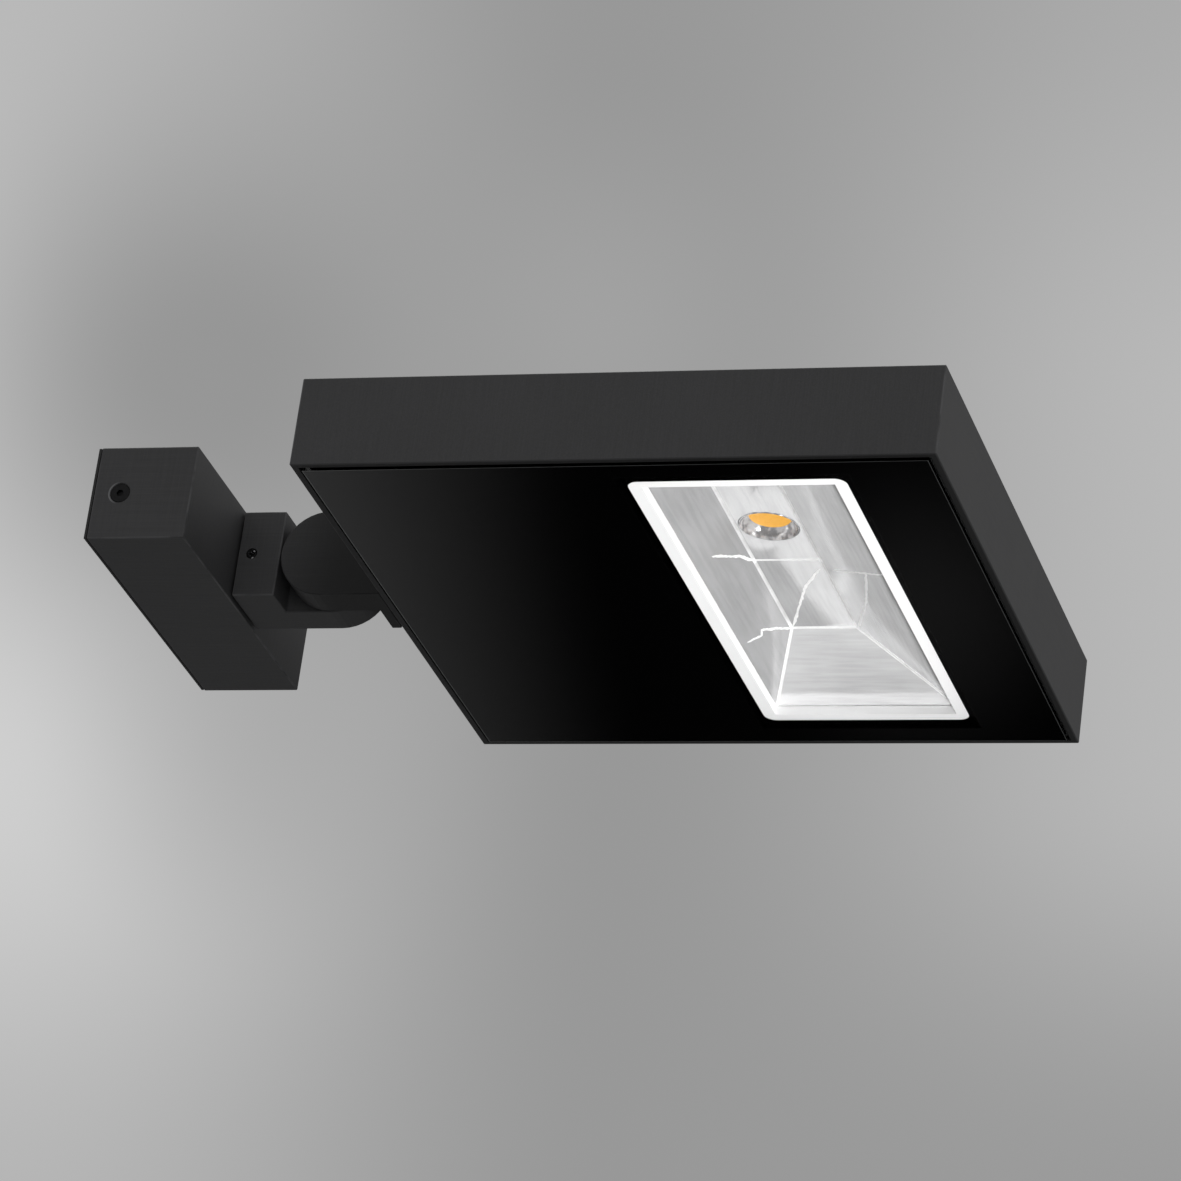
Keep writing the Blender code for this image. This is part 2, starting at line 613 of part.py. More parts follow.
def build_earth_screw(parent):
    bm = bmesh.new()
    seat = PLATE_THICKNESS + FIT
    top = seat + EARTH_HEAD_THICKNESS
    profile = [(0, FIT), (EARTH_SHANK_RADIUS, FIT), (EARTH_SHANK_RADIUS, seat), (EARTH_HEAD_RADIUS, seat),
               (EARTH_HEAD_RADIUS, top - EDGE_BREAK), (EARTH_HEAD_RADIUS - EDGE_BREAK, top), (0, top)]
    add_turned(bm, profile, "-Y", segments=SMALL_SEGMENTS)
    screw = place("earth_screw", bm, (EARTH_X, 0, 0), parent, "brass", smooth=True)
    slot = bmesh.new()
    wide = EARTH_HEAD_RADIUS + CUT_OVERRUN
    add_box(slot, (-wide, -top - CUT_OVERRUN, -SCREW_SLOT_WIDTH / 2),
            (wide, -top + SCREW_SLOT_DEPTH, SCREW_SLOT_WIDTH / 2))
    boolean(screw, "earth_slot", slot)


def spigot_end_out():
    return BLOCK_BACK_OUT + SPIGOT_ENGAGEMENT


def swivel_nut_out():
    return BOX_FRONT_INNER_OUT - SWIVEL_WASHER_THICKNESS - 2 * FIT


def build_spigot(parent):
    tail = swivel_nut_out() - SWIVEL_NUT_THICKNESS - SPIGOT_TAIL
    collar = WALL_BOX_DEPTH + FIT
    collar_end = collar + SPIGOT_COLLAR_THICKNESS
    groove = GRUB_RADIUS + FIT
    end = spigot_end_out()
    profile = [(SPIGOT_BORE_RADIUS, tail), (SPIGOT_RADIUS, tail), (SPIGOT_RADIUS, collar),
               (SPIGOT_COLLAR_RADIUS, collar), (SPIGOT_COLLAR_RADIUS, collar_end),
               (SPIGOT_RADIUS, collar_end),
               (SPIGOT_RADIUS, GRUB_OUT - groove), (SPIGOT_GROOVE_RADIUS, GRUB_OUT - groove),
               (SPIGOT_GROOVE_RADIUS, GRUB_OUT + groove), (SPIGOT_RADIUS, GRUB_OUT + groove),
               (SPIGOT_RADIUS, end - EDGE_BREAK), (SPIGOT_RADIUS - EDGE_BREAK, end),
               (SPIGOT_BORE_RADIUS, end)]
    bm = bmesh.new()
    add_turned(bm, profile, "-Y")
    place("swivel_spigot", bm, ORIGIN, parent, "zinc", smooth=True)


def build_swivel_fixings(parent):
    washer_end = BOX_FRONT_INNER_OUT - FIT
    bm = bmesh.new()
    add_turned(bm, ring_profile(SPIGOT_RADIUS + FIT, SWIVEL_WASHER_RADIUS,
                                washer_end - SWIVEL_WASHER_THICKNESS, washer_end), "-Y")
    place("swivel_washer", bm, ORIGIN, parent, "zinc", smooth=True)
    nut = bmesh.new()
    nut_end = swivel_nut_out()
    add_prism(nut, polygon(SWIVEL_NUT_ACROSS), nut_end - SWIVEL_NUT_THICKNESS, nut_end, "-Y")
    body = place("swivel_nut", nut, ORIGIN, parent, "zinc")
    bore = bmesh.new()
    add_turned(bore, disc_profile(SPIGOT_RADIUS + FIT, nut_end - SWIVEL_NUT_THICKNESS - CUT_OVERRUN,
                                  nut_end + CUT_OVERRUN), "-Y")
    boolean(body, "swivel_nut_bore", bore)
    seal = bmesh.new()
    add_turned(seal, ring_profile(SPIGOT_COLLAR_RADIUS + 2 * FIT, SWIVEL_SEAL_RADIUS, WALL_BOX_DEPTH + FIT,
                                  WALL_BOX_DEPTH + FIT + SWIVEL_SEAL_THICKNESS), "-Y")
    place("swivel_seal", seal, ORIGIN, parent, "black_rubber", smooth=True)


def cheek_outline(start, tip_sign):
    # outline across X of a cheek: flat top and bottom, a round end about the pivot
    # start is how far from the pivot the flat end lies, on the side away from the tip
    points = [(-tip_sign * start, -CHEEK_RADIUS), (-tip_sign * start, CHEEK_RADIUS)]
    steps = ROUND_SEGMENTS // 2
    for i in range(steps + 1):
        angle = math.pi / 2 - math.pi * i / steps
        points.append((tip_sign * CHEEK_RADIUS * math.cos(angle), CHEEK_RADIUS * math.sin(angle)))
    return points


def add_cheek_form(bm, start, tip_sign, half_width):
    # tip_sign is -1 where the round end points away from the wall, 1 where it points to it
    outline = cheek_outline(start, tip_sign)
    low = [bm.verts.new((-half_width, y, z)) for y, z in outline]
    high = [bm.verts.new((half_width, y, z)) for y, z in outline]
    bm.faces.new(low)
    bm.faces.new(high)
    for i in range(len(outline)):
        j = (i + 1) % len(outline)
        bm.faces.new((low[i], low[j], high[j], high[i]))


def build_knuckle_base(parent):
    back = PIVOT_OUT - BLOCK_BACK_OUT
    front = PIVOT_OUT - BLOCK_FRONT_OUT
    tip = CHEEK_RADIUS + CUT_OVERRUN
    tall = CHEEK_RADIUS + CUT_OVERRUN
    bm = bmesh.new()
    ell = [(-KNUCKLE_SIDE, back), (KNUCKLE_SIDE, back), (KNUCKLE_SIDE, -tip), (CHEEK_HALF_GAP, -tip),
           (CHEEK_HALF_GAP, front), (-KNUCKLE_SIDE, front)]
    add_prism(bm, ell, -tall, tall)
    base = place("knuckle_base", bm, PIVOT_POINT, parent, "graphite")
    form = bmesh.new()
    add_cheek_form(form, back + CUT_OVERRUN, -1, KNUCKLE_SIDE + CUT_OVERRUN)
    boolean(base, "knuckle_base_form", form, "INTERSECT")
    bevel(base, EDGE_BREAK)
    # the bore runs past the spigot's end, so that the cable can turn there into its way to the pivot
    bore = bmesh.new()
    bore_end = SPIGOT_ENGAGEMENT + CABLE_TURN_ROOM
    profile = [(0, -CUT_OVERRUN), (SPIGOT_COLLAR_RADIUS + FIT, -CUT_OVERRUN),
               (SPIGOT_COLLAR_RADIUS + FIT, SPIGOT_COLLAR_THICKNESS + 2 * FIT - SEAM),
               (SPIGOT_RADIUS + FIT, SPIGOT_COLLAR_THICKNESS + 2 * FIT - SEAM),
               (SPIGOT_RADIUS + FIT, bore_end), (0, bore_end)]
    add_turned(bore, profile, "-Y", (0, back, 0))
    boolean(base, "knuckle_base_bore", bore)
    pocket = bmesh.new()
    counterbore = PIVOT_HEAD_THICKNESS + PIVOT_WASHER_THICKNESS + PIVOT_SINK + 2 * FIT
    shelf = POCKET_DEPTH + CHEEK_HALF_GAP
    seat = KNUCKLE_SIDE - counterbore
    profile = [(0, -CUT_OVERRUN), (POCKET_RADIUS, -CUT_OVERRUN), (POCKET_RADIUS, shelf),
               (PIVOT_RADIUS + FIT, shelf), (PIVOT_RADIUS + FIT, seat), (PIVOT_HEAD_RADIUS + FIT, seat),
               (PIVOT_HEAD_RADIUS + FIT, KNUCKLE_SIDE + CUT_OVERRUN), (0, KNUCKLE_SIDE + CUT_OVERRUN)]
    add_turned(pocket, profile, "+X")
    boolean(base, "knuckle_base_pocket", pocket)
    way = bmesh.new()
    way_end = back - SPIGOT_ENGAGEMENT + FIT
    add_turned(way, disc_profile(CABLE_WAY_RADIUS, 0, way_end), "+Y", (CABLE_WAY_X, 0, 0), SMALL_SEGMENTS)
    boolean(base, "knuckle_base_way", way)
    lock = bmesh.new()
    add_turned(lock, disc_profile(GRUB_RADIUS + FIT, -CUT_OVERRUN, KNUCKLE_SIDE), "+X",
               (-KNUCKLE_SIDE, PIVOT_OUT - GRUB_OUT, 0), SMALL_SEGMENTS)
    boolean(base, "knuckle_base_lock", lock)


def build_grub_screw(parent):
    start = KNUCKLE_SIDE - GRUB_SINK
    length = start - SPIGOT_GROOVE_RADIUS - FIT
    bm = bmesh.new()
    point = GRUB_RADIUS / 2
    profile = [(0, 0), (GRUB_RADIUS - EDGE_BREAK, 0), (GRUB_RADIUS, EDGE_BREAK),
               (GRUB_RADIUS, length - point), (point, length), (0, length)]
    add_turned(bm, profile, "+X", segments=SMALL_SEGMENTS)
    screw = place("grub_screw", bm, (-start, -GRUB_OUT, 0), parent, "black_steel", smooth=True)
    socket = bmesh.new()
    add_prism(socket, polygon(GRUB_SOCKET_ACROSS), -CUT_OVERRUN, GRUB_SOCKET_DEPTH, "+X")
    boolean(screw, "grub_socket", socket)


def build_friction_ring(parent):
    bm = bmesh.new()
    inner = POCKET_RADIUS + FRICTION_MARGIN
    outer = CHEEK_RADIUS - FRICTION_MARGIN
    add_turned(bm, ring_profile(inner, outer, -FRICTION_THICKNESS / 2, FRICTION_THICKNESS / 2), "+X")
    place("friction_ring", bm, PIVOT_POINT, parent, "black_rubber", smooth=True)


def neck_screw_places():
    return [(x, z) for x in (-NECK_SCREW_X, NECK_SCREW_X) for z in (-NECK_SCREW_LOW, NECK_SCREW_HIGH)]


def build_knuckle_head(parent):
    block_near = PIVOT_OUT - HEAD_BLOCK_OUT
    block_far = block_near - HEAD_BLOCK_THICKNESS
    tip = CHEEK_RADIUS + CUT_OVERRUN
    tall = CHEEK_RADIUS + CUT_OVERRUN
    bm = bmesh.new()
    ell = [(-KNUCKLE_SIDE, tip), (-CHEEK_HALF_GAP, tip), (-CHEEK_HALF_GAP, block_near),
           (KNUCKLE_SIDE, block_near), (KNUCKLE_SIDE, block_far), (-KNUCKLE_SIDE, block_far)]
    add_prism(bm, ell, -tall, tall)
    half = place("knuckle_head", bm, PIVOT_POINT, parent, "graphite")
    form = bmesh.new()
    add_cheek_form(form, -block_far + CUT_OVERRUN, 1, KNUCKLE_SIDE + CUT_OVERRUN)
    boolean(half, "knuckle_head_form", form, "INTERSECT")
    bevel(half, EDGE_BREAK)
    pocket = bmesh.new()
    shelf = POCKET_DEPTH + CHEEK_HALF_GAP
    thread = shelf + PIVOT_THREAD_DEPTH + FIT
    profile = [(0, -CUT_OVERRUN), (POCKET_RADIUS, -CUT_OVERRUN), (POCKET_RADIUS, shelf),
               (PIVOT_RADIUS + FIT, shelf), (PIVOT_RADIUS + FIT, thread), (0, thread)]
    add_turned(pocket, profile, "-X")
    boolean(half, "knuckle_head_pocket", pocket)
    way = bmesh.new()
    add_turned(way, disc_profile(CABLE_WAY_RADIUS, 0, CUT_OVERRUN - block_far), "-Y", (-CABLE_WAY_X, 0, 0),
               SMALL_SEGMENTS)
    boolean(half, "knuckle_head_way", way)
    threads = bmesh.new()
    for x, z in neck_screw_places():
        add_turned(threads, disc_profile(NECK_SCREW_RADIUS + FIT, -CUT_OVERRUN, NECK_SCREW_BITE + FIT), "+Y",
                   (x, block_far, z), SMALL_SEGMENTS)
    boolean(half, "knuckle_head_threads", threads)


def build_pivot_bolt(parent):
    head_seat = KNUCKLE_SIDE - PIVOT_SINK - PIVOT_HEAD_THICKNESS
    length = head_seat + CHEEK_HALF_GAP + POCKET_DEPTH + PIVOT_THREAD_DEPTH
    sizes = (PIVOT_HEAD_RADIUS, PIVOT_HEAD_THICKNESS, PIVOT_RADIUS, length, PIVOT_SOCKET_ACROSS,
             PIVOT_SOCKET_DEPTH)
    socket_screw("pivot_bolt", PIVOT_POINT + Vector((head_seat, 0, 0)), "-X", sizes, parent, "black_steel")
    bm = bmesh.new()
    washer_end = FIT + PIVOT_WASHER_THICKNESS
    add_turned(bm, ring_profile(PIVOT_RADIUS + FIT, PIVOT_HEAD_RADIUS, FIT, washer_end), "-X",
               segments=SMALL_SEGMENTS)
    place("pivot_washer", bm, PIVOT_POINT + Vector((head_seat, 0, 0)), parent, "zinc", smooth=True)


def pillar_places():
    x_reach = MOUTH_HALF_LENGTH + BEZEL_EAR_OFFSET
    y_reach = MOUTH_HALF_WIDTH + BEZEL_EAR_OFFSET
    return [(WINDOW_X + sx * x_reach, -WINDOW_OUT + sy * y_reach) for sx in (-1, 1) for sy in (-1, 1)]


def spreader_screw_places():
    return [(LED_X + side * SPREADER_SCREW_OFFSET, -LED_OUT) for side in (-1, 1)]


def driver_screw_places():
    reach = (DRIVER_LENGTH + DRIVER_FOOT_LENGTH) / 2
    return [(side * reach, -DRIVER_OUT) for side in (-1, 1)]


def build_head_housing(parent):
    half_x = HEAD_LENGTH / 2
    half_y = HEAD_REACH / 2
    inner_x = half_x - HEAD_WALL
    inner_y = half_y - HEAD_WALL
    ledge_x = inner_x - LEDGE_WIDTH
    ledge_y = inner_y - LEDGE_WIDTH
    ledge_top = LEDGE_BOTTOM + LEDGE_THICKNESS
    bm = bmesh.new()
    add_box(bm, (-half_x, -half_y, HEAD_BOTTOM), (half_x, half_y, HEAD_TOP))
    housing = place("head_housing", bm, HEAD_POINT, parent, "graphite")
    bevel(housing, EDGE_BREAK)
    hollow = bmesh.new()
    loops = [rectangle(inner_x, inner_y, HEAD_BOTTOM - CUT_OVERRUN),
             rectangle(inner_x, inner_y, LEDGE_BOTTOM), rectangle(ledge_x, ledge_y, LEDGE_BOTTOM),
             rectangle(ledge_x, ledge_y, ledge_top), rectangle(inner_x, inner_y, ledge_top),
             rectangle(inner_x, inner_y, BACK_INNER)]
    rings = add_nested(hollow, loops, closed=False)
    hollow.faces.new(rings[0])
    hollow.faces.new(rings[-1])
    boolean(housing, "head_hollow", hollow)
    pillars = bmesh.new()
    ear_top = BEZEL_BOTTOM + BEZEL_EAR_HEIGHT + FIT
    for x, y in pillar_places():
        add_turned(pillars, disc_profile(PILLAR_RADIUS, ear_top, BACK_INNER + HEAD_BACK / 2), "+Z",
                   (x, y - HEAD_POINT.y, 0), SMALL_SEGMENTS)
    boolean(housing, "head_pillars", pillars, "UNION")
    holes = bmesh.new()
    for x, y in pillar_places():
        add_turned(holes, disc_profile(BEZEL_SCREW_RADIUS + FIT, ear_top - CUT_OVERRUN,
                                       ear_top + BEZEL_SCREW_LENGTH), "+Z",
                   (x, y - HEAD_POINT.y, 0), SMALL_SEGMENTS)
    for x, y in spreader_screw_places():
        add_turned(holes, disc_profile(SPREADER_SCREW_RADIUS + FIT, BACK_INNER - CUT_OVERRUN,
                                       BACK_INNER + BACK_THREAD_DEPTH + FIT), "+Z",
                   (x, y - HEAD_POINT.y, 0), SMALL_SEGMENTS)
    for x, y in driver_screw_places():
        add_turned(holes, disc_profile(DRIVER_SCREW_RADIUS + FIT, BACK_INNER - CUT_OVERRUN,
                                       BACK_INNER + BACK_THREAD_DEPTH + FIT), "+Z",
                   (x, y - HEAD_POINT.y, 0), SMALL_SEGMENTS)
    for x, z in neck_screw_places():
        add_turned(holes, disc_profile(NECK_SCREW_RADIUS + FIT, -CUT_OVERRUN, HEAD_WALL + CUT_OVERRUN), "-Y",
                   (x, half_y, z), SMALL_SEGMENTS)
    add_turned(holes, disc_profile(GLAND_RADIUS + FIT, -CUT_OVERRUN, HEAD_WALL + CUT_OVERRUN), "-Y",
               (-CABLE_WAY_X, half_y, 0), SMALL_SEGMENTS)
    boolean(housing, "head_holes", holes)


def build_neck(parent):
    seat = HEAD_OUT + HEAD_WALL + FIT
    length = NECK_SCREW_BITE + 2 * FIT + HEAD_WALL
    sizes = (NECK_SCREW_HEAD_RADIUS, NECK_SCREW_HEAD_THICKNESS, NECK_SCREW_RADIUS, length, NECK_SOCKET_ACROSS,
             NECK_SOCKET_DEPTH)
    for number, (x, z) in enumerate(neck_screw_places(), 1):
        socket_screw("neck_screw_%d" % number, (x, -seat, z), "+Y", sizes, parent, "zinc")
    bm = bmesh.new()
    collar_end = HEAD_WALL + FIT + GLAND_COLLAR_THICKNESS
    profile = [(GLAND_BORE_RADIUS, 0), (GLAND_RADIUS, 0), (GLAND_RADIUS, HEAD_WALL + FIT),
               (GLAND_COLLAR_RADIUS, HEAD_WALL + FIT), (GLAND_COLLAR_RADIUS, collar_end - EDGE_BREAK),
               (GLAND_COLLAR_RADIUS - EDGE_BREAK, collar_end), (GLAND_BORE_RADIUS, collar_end)]
    add_turned(bm, profile, "-Y", segments=SMALL_SEGMENTS)
    place("cable_gland", bm, (-CABLE_WAY_X, -HEAD_OUT, 0), parent, "black_rubber", smooth=True)


def build_glass(parent):
    half_x = HEAD_LENGTH / 2 - HEAD_WALL - GLASS_EDGE_GAP
    half_y = HEAD_REACH / 2 - HEAD_WALL - GLASS_EDGE_GAP
    bm = bmesh.new()
    add_box(bm, (-half_x, -half_y, GLASS_OUTER), (half_x, half_y, GLASS_INNER))
    glass = place("cover_glass", bm, HEAD_POINT, parent, "black_glass")
    bevel(glass, GLASS_BREAK)
    gasket = bmesh.new()
    inner_x = half_x - GLASS_GASKET_WIDTH
    inner_y = half_y - GLASS_GASKET_WIDTH
    top = GASKET_BOTTOM + GLASS_GASKET_THICKNESS
    loops = [rectangle(half_x, half_y, GASKET_BOTTOM), rectangle(half_x, half_y, top),
             rectangle(inner_x, inner_y, top), rectangle(inner_x, inner_y, GASKET_BOTTOM)]
    add_nested(gasket, loops, closed=True)
    place("glass_gasket", gasket, HEAD_POINT, parent, "black_rubber")


def build_bezel(parent):
    at = Vector((WINDOW_X, -WINDOW_OUT, 0))
    out_x = MOUTH_HALF_LENGTH + BEZEL_FLANGE
    out_y = MOUTH_HALF_WIDTH + BEZEL_FLANGE
    wall_x = MOUTH_HALF_LENGTH + BEZEL_THICKNESS
    wall_y = MOUTH_HALF_WIDTH + BEZEL_THICKNESS
    flange_top = BEZEL_BOTTOM + BEZEL_THICKNESS
    bm = bmesh.new()
    loops = [rectangle(MOUTH_HALF_LENGTH, MOUTH_HALF_WIDTH, BEZEL_BOTTOM),
             rectangle(out_x, out_y, BEZEL_BOTTOM), rectangle(out_x, out_y, flange_top),
             rectangle(wall_x, wall_y, flange_top), rectangle(wall_x, wall_y, BEZEL_TOP),
             rectangle(MOUTH_HALF_LENGTH, MOUTH_HALF_WIDTH, BEZEL_TOP)]
    add_nested(bm, loops, closed=True)
    bezel = place("reflector_bezel", bm, at, parent, "white_plastic")
    ears = bmesh.new()
    wells = bmesh.new()
    lift = BEZEL_BOTTOM + EDGE_BREAK
    ear_top = BEZEL_BOTTOM + BEZEL_EAR_HEIGHT
    seat = BEZEL_BOTTOM + BEZEL_SCREW_HEAD_THICKNESS + 2 * FIT
    for x, y in pillar_places():
        spot = (x - at.x, y - at.y, 0)
        add_turned(ears, disc_profile(BEZEL_EAR_RADIUS, lift, ear_top), "+Z", spot, SMALL_SEGMENTS)
        well = BEZEL_SCREW_HEAD_RADIUS + FIT
        profile = [(0, BEZEL_BOTTOM - CUT_OVERRUN), (well, BEZEL_BOTTOM - CUT_OVERRUN),
                   (well, seat), (BEZEL_SCREW_RADIUS + FIT, seat),
                   (BEZEL_SCREW_RADIUS + FIT, ear_top + CUT_OVERRUN), (0, ear_top + CUT_OVERRUN)]
        add_turned(wells, profile, "+Z", spot, SMALL_SEGMENTS)
    boolean(bezel, "bezel_ears", ears, "UNION")
    boolean(bezel, "bezel_wells", wells)
    length = ear_top - seat + BEZEL_SCREW_LENGTH
    for number, (x, y) in enumerate(pillar_places(), 1):
        sizes = (BEZEL_SCREW_HEAD_RADIUS, BEZEL_SCREW_HEAD_THICKNESS, BEZEL_SCREW_RADIUS, length,
                 BEZEL_SCREW_RADIUS, BEZEL_SCREW_HEAD_THICKNESS / 2)
        socket_screw("bezel_screw_%d" % number, (x, y, seat - FIT), "+Z", sizes, parent, "zinc")


def build_reflector(parent):
    at = Vector((WINDOW_X, -WINDOW_OUT, 0))
    hem_x = MOUTH_HALF_LENGTH + REFLECTOR_HEM
    hem_y = MOUTH_HALF_WIDTH + REFLECTOR_HEM
    roof = (ROOF_NEAR_X - at.x, ROOF_FAR_X - at.x, -ROOF_OUTER_OUT - at.y, -ROOF_WALL_SIDE_OUT - at.y,
            ROOF_LEVEL)
    bm = bmesh.new()
    loops = [rectangle(hem_x, hem_y, MOUTH_LEVEL),
             rectangle(MOUTH_HALF_LENGTH, MOUTH_HALF_WIDTH, MOUTH_LEVEL), roof]
    rings = add_nested(bm, loops, closed=False)
    bm.faces.new(rings[-1])
    reflector = place("reflector", bm, at, parent, "bright_aluminium")
    top_face = max(reflector.data.polygons, key=lambda face: face.center.z)
    if top_face.normal.z < 0:
        reflector.data.flip_normals()
    sheet = reflector.modifiers.new("sheet", "SOLIDIFY")
    sheet.thickness = REFLECTOR_SHEET
    sheet.offset = 1.0
    sheet.use_even_offset = True
    hole = bmesh.new()
    spot = (LED_X - at.x, -LED_OUT - at.y, 0)
    add_turned(hole, disc_profile(CUP_MOUTH_RADIUS + CUP_LIP + FIT, ROOF_LEVEL - CUT_OVERRUN,
                                  ROOF_LEVEL + REFLECTOR_SHEET + CUT_OVERRUN), "+Z", spot)
    boolean(reflector, "reflector_hole", hole)


def build_led(parent):
    at = Vector((LED_X, -LED_OUT, 0))
    lip = CUP_MOUTH_RADIUS + CUP_LIP
    low = ROOF_LEVEL - CUP_LIP_DROP
    bm = bmesh.new()
    profile = [(CUP_MOUTH_RADIUS, low), (lip, low), (lip, HOLDER_BOTTOM), (HOLDER_RADIUS, HOLDER_BOTTOM),
               (HOLDER_RADIUS, HOLDER_TOP), (CUP_THROAT_RADIUS, HOLDER_TOP)]
    add_turned(bm, profile, "+Z")
    holder = place("led_holder", bm, at, parent, "chrome", smooth=True)
    wells = bmesh.new()
    seat = HOLDER_BOTTOM + LED_SCREW_HEAD_THICKNESS + 2 * FIT
    spots = [(side * LED_SCREW_OFFSET, 0, 0) for side in (-1, 1)]
    for spot in spots:
        well = LED_SCREW_HEAD_RADIUS + FIT
        profile = [(0, HOLDER_BOTTOM - CUT_OVERRUN), (well, HOLDER_BOTTOM - CUT_OVERRUN),
                   (well, seat), (LED_SCREW_RADIUS + FIT, seat),
                   (LED_SCREW_RADIUS + FIT, HOLDER_TOP + CUT_OVERRUN), (0, HOLDER_TOP + CUT_OVERRUN)]
        add_turned(wells, profile, "+Z", spot, SMALL_SEGMENTS)
    boolean(holder, "holder_wells", wells)
    phosphor = bmesh.new()
    phosphor_top = BOARD_BOTTOM - FIT
    add_turned(phosphor, disc_profile(PHOSPHOR_RADIUS, phosphor_top - PHOSPHOR_THICKNESS, phosphor_top), "+Z")
    place("led_phosphor", phosphor, at, parent, "phosphor", smooth=True)
    board = bmesh.new()
    half = BOARD_SIDE / 2
    add_box(board, (-half, -half, BOARD_BOTTOM), (half, half, BOARD_TOP))
    place("led_board", board, at, parent, "coated_board")
    pad = bmesh.new()
    half = PAD_SIDE / 2
    add_box(pad, (-half, -half, PAD_BOTTOM), (half, half, PAD_BOTTOM + PAD_THICKNESS))
    place("thermal_pad", pad, at, parent, "grey_silicone")
    plate = bmesh.new()
    half = SPREADER_SIDE / 2
    add_box(plate, (-half, -half, SPREADER_BOTTOM), (half, half, SPREADER_TOP))
    spreader = place("heat_spreader", plate, at, parent, "bare_aluminium")
    holes = bmesh.new()
    bite = (SPREADER_TOP - SPREADER_BOTTOM) * LED_SCREW_BITE_SHARE
    for spot in spots:
        add_turned(holes, disc_profile(LED_SCREW_RADIUS + FIT, SPREADER_BOTTOM - CUT_OVERRUN,
                                       SPREADER_BOTTOM + bite + FIT), "+Z", spot, SMALL_SEGMENTS)
    for x, y in spreader_screw_places():
        add_turned(holes, disc_profile(SPREADER_SCREW_RADIUS + FIT, SPREADER_BOTTOM - CUT_OVERRUN,
                                       SPREADER_TOP + CUT_OVERRUN), "+Z",
                   (x - at.x, y - at.y, 0), SMALL_SEGMENTS)
    boolean(spreader, "spreader_holes", holes)
    for number, spot in enumerate(spots, 1):
        length = SPREADER_BOTTOM + bite - seat
        sizes = (LED_SCREW_HEAD_RADIUS, LED_SCREW_HEAD_THICKNESS, LED_SCREW_RADIUS, length, LED_SCREW_RADIUS,
                 LED_SCREW_HEAD_THICKNESS / 2)
        under = at + Vector(spot) + Vector((0, 0, seat - FIT))
        socket_screw("led_screw_%d" % number, under, "+Z", sizes, parent, "zinc")
    for number, (x, y) in enumerate(spreader_screw_places(), 1):
        length = SPREADER_TOP - SPREADER_BOTTOM + FIT + BACK_THREAD_DEPTH
        sizes = (SPREADER_SCREW_HEAD_RADIUS, SPREADER_SCREW_HEAD_THICKNESS, SPREADER_SCREW_RADIUS, length,
                 SPREADER_SCREW_RADIUS, SPREADER_SCREW_HEAD_THICKNESS / 2)
        socket_screw("spreader_screw_%d" % number, (x, y, SPREADER_BOTTOM - FIT), "+Z", sizes, parent, "zinc")


def build_driver(parent):
    at = Vector((0, -DRIVER_OUT, 0))
    top = BACK_INNER - FIT
    half_x = DRIVER_LENGTH / 2
    half_y = DRIVER_WIDTH / 2
    bm = bmesh.new()
    add_box(bm, (-half_x, -half_y, top - DRIVER_HEIGHT), (half_x, half_y, top))
    driver = place("led_driver", bm, at, parent, "white_plastic")
    bevel(driver, DRIVER_BREAK)
    feet = bmesh.new()
    for side in (-1, 1):
        inner = side * (half_x - DRIVER_BREAK * 2)
        outer = side * (half_x + DRIVER_FOOT_LENGTH)
        foot_y = half_y / 2
        add_box(feet, (min(inner, outer), -foot_y, top - DRIVER_FOOT_THICKNESS - FIT),
                (max(inner, outer), foot_y, top - FIT))
    boolean(driver, "driver_feet", feet, "UNION")
    holes = bmesh.new()
    for x, y in driver_screw_places():
        add_turned(holes, disc_profile(DRIVER_SCREW_RADIUS + FIT, top - DRIVER_FOOT_THICKNESS - CUT_OVERRUN,
                                       top + CUT_OVERRUN), "+Z", (x, 0, 0), SMALL_SEGMENTS)
    boolean(driver, "driver_holes", holes)
    foot_bottom = top - DRIVER_FOOT_THICKNESS - FIT
    for number, (x, y) in enumerate(driver_screw_places(), 1):
        length = BACK_INNER + BACK_THREAD_DEPTH - foot_bottom + FIT
        sizes = (DRIVER_SCREW_HEAD_RADIUS, DRIVER_SCREW_HEAD_THICKNESS, DRIVER_SCREW_RADIUS, length,
                 DRIVER_SCREW_RADIUS, DRIVER_SCREW_HEAD_THICKNESS / 2)
        socket_screw("driver_screw_%d" % number, (x, y, foot_bottom - FIT), "+Z", sizes, parent, "zinc")


def hermite(start, start_pull, end, end_pull, count):
    points = []
    for i in range(count):
        t = i / (count - 1)
        a = 2 * t ** 3 - 3 * t ** 2 + 1
        b = t ** 3 - 2 * t ** 2 + t
        c = -2 * t ** 3 + 3 * t ** 2
        d = t ** 3 - t ** 2
        points.append(a * start + b * start_pull + c * end + d * end_pull)
    return points


def build_lead(name, points, radius, parent, finish):
    curve = bpy.data.curves.new(name, "CURVE")
    curve.dimensions = "3D"
    curve.bevel_depth = radius
    curve.bevel_resolution = LEAD_SEGMENTS
    curve.use_fill_caps = True
    spline = curve.splines.new("POLY")
    spline.points.add(len(points) - 1)
    origin = points[0]
    for spot, point in zip(spline.points, points):
        spot.co = (*(point - origin), 1.0)
    lead = bpy.data.objects.new(name, curve)
    bpy.context.collection.objects.link(lead)
    lead.parent = parent
    lead.location = origin - (Vector(parent["place"]) if parent else ORIGIN)
    curve.materials.append(material(finish))


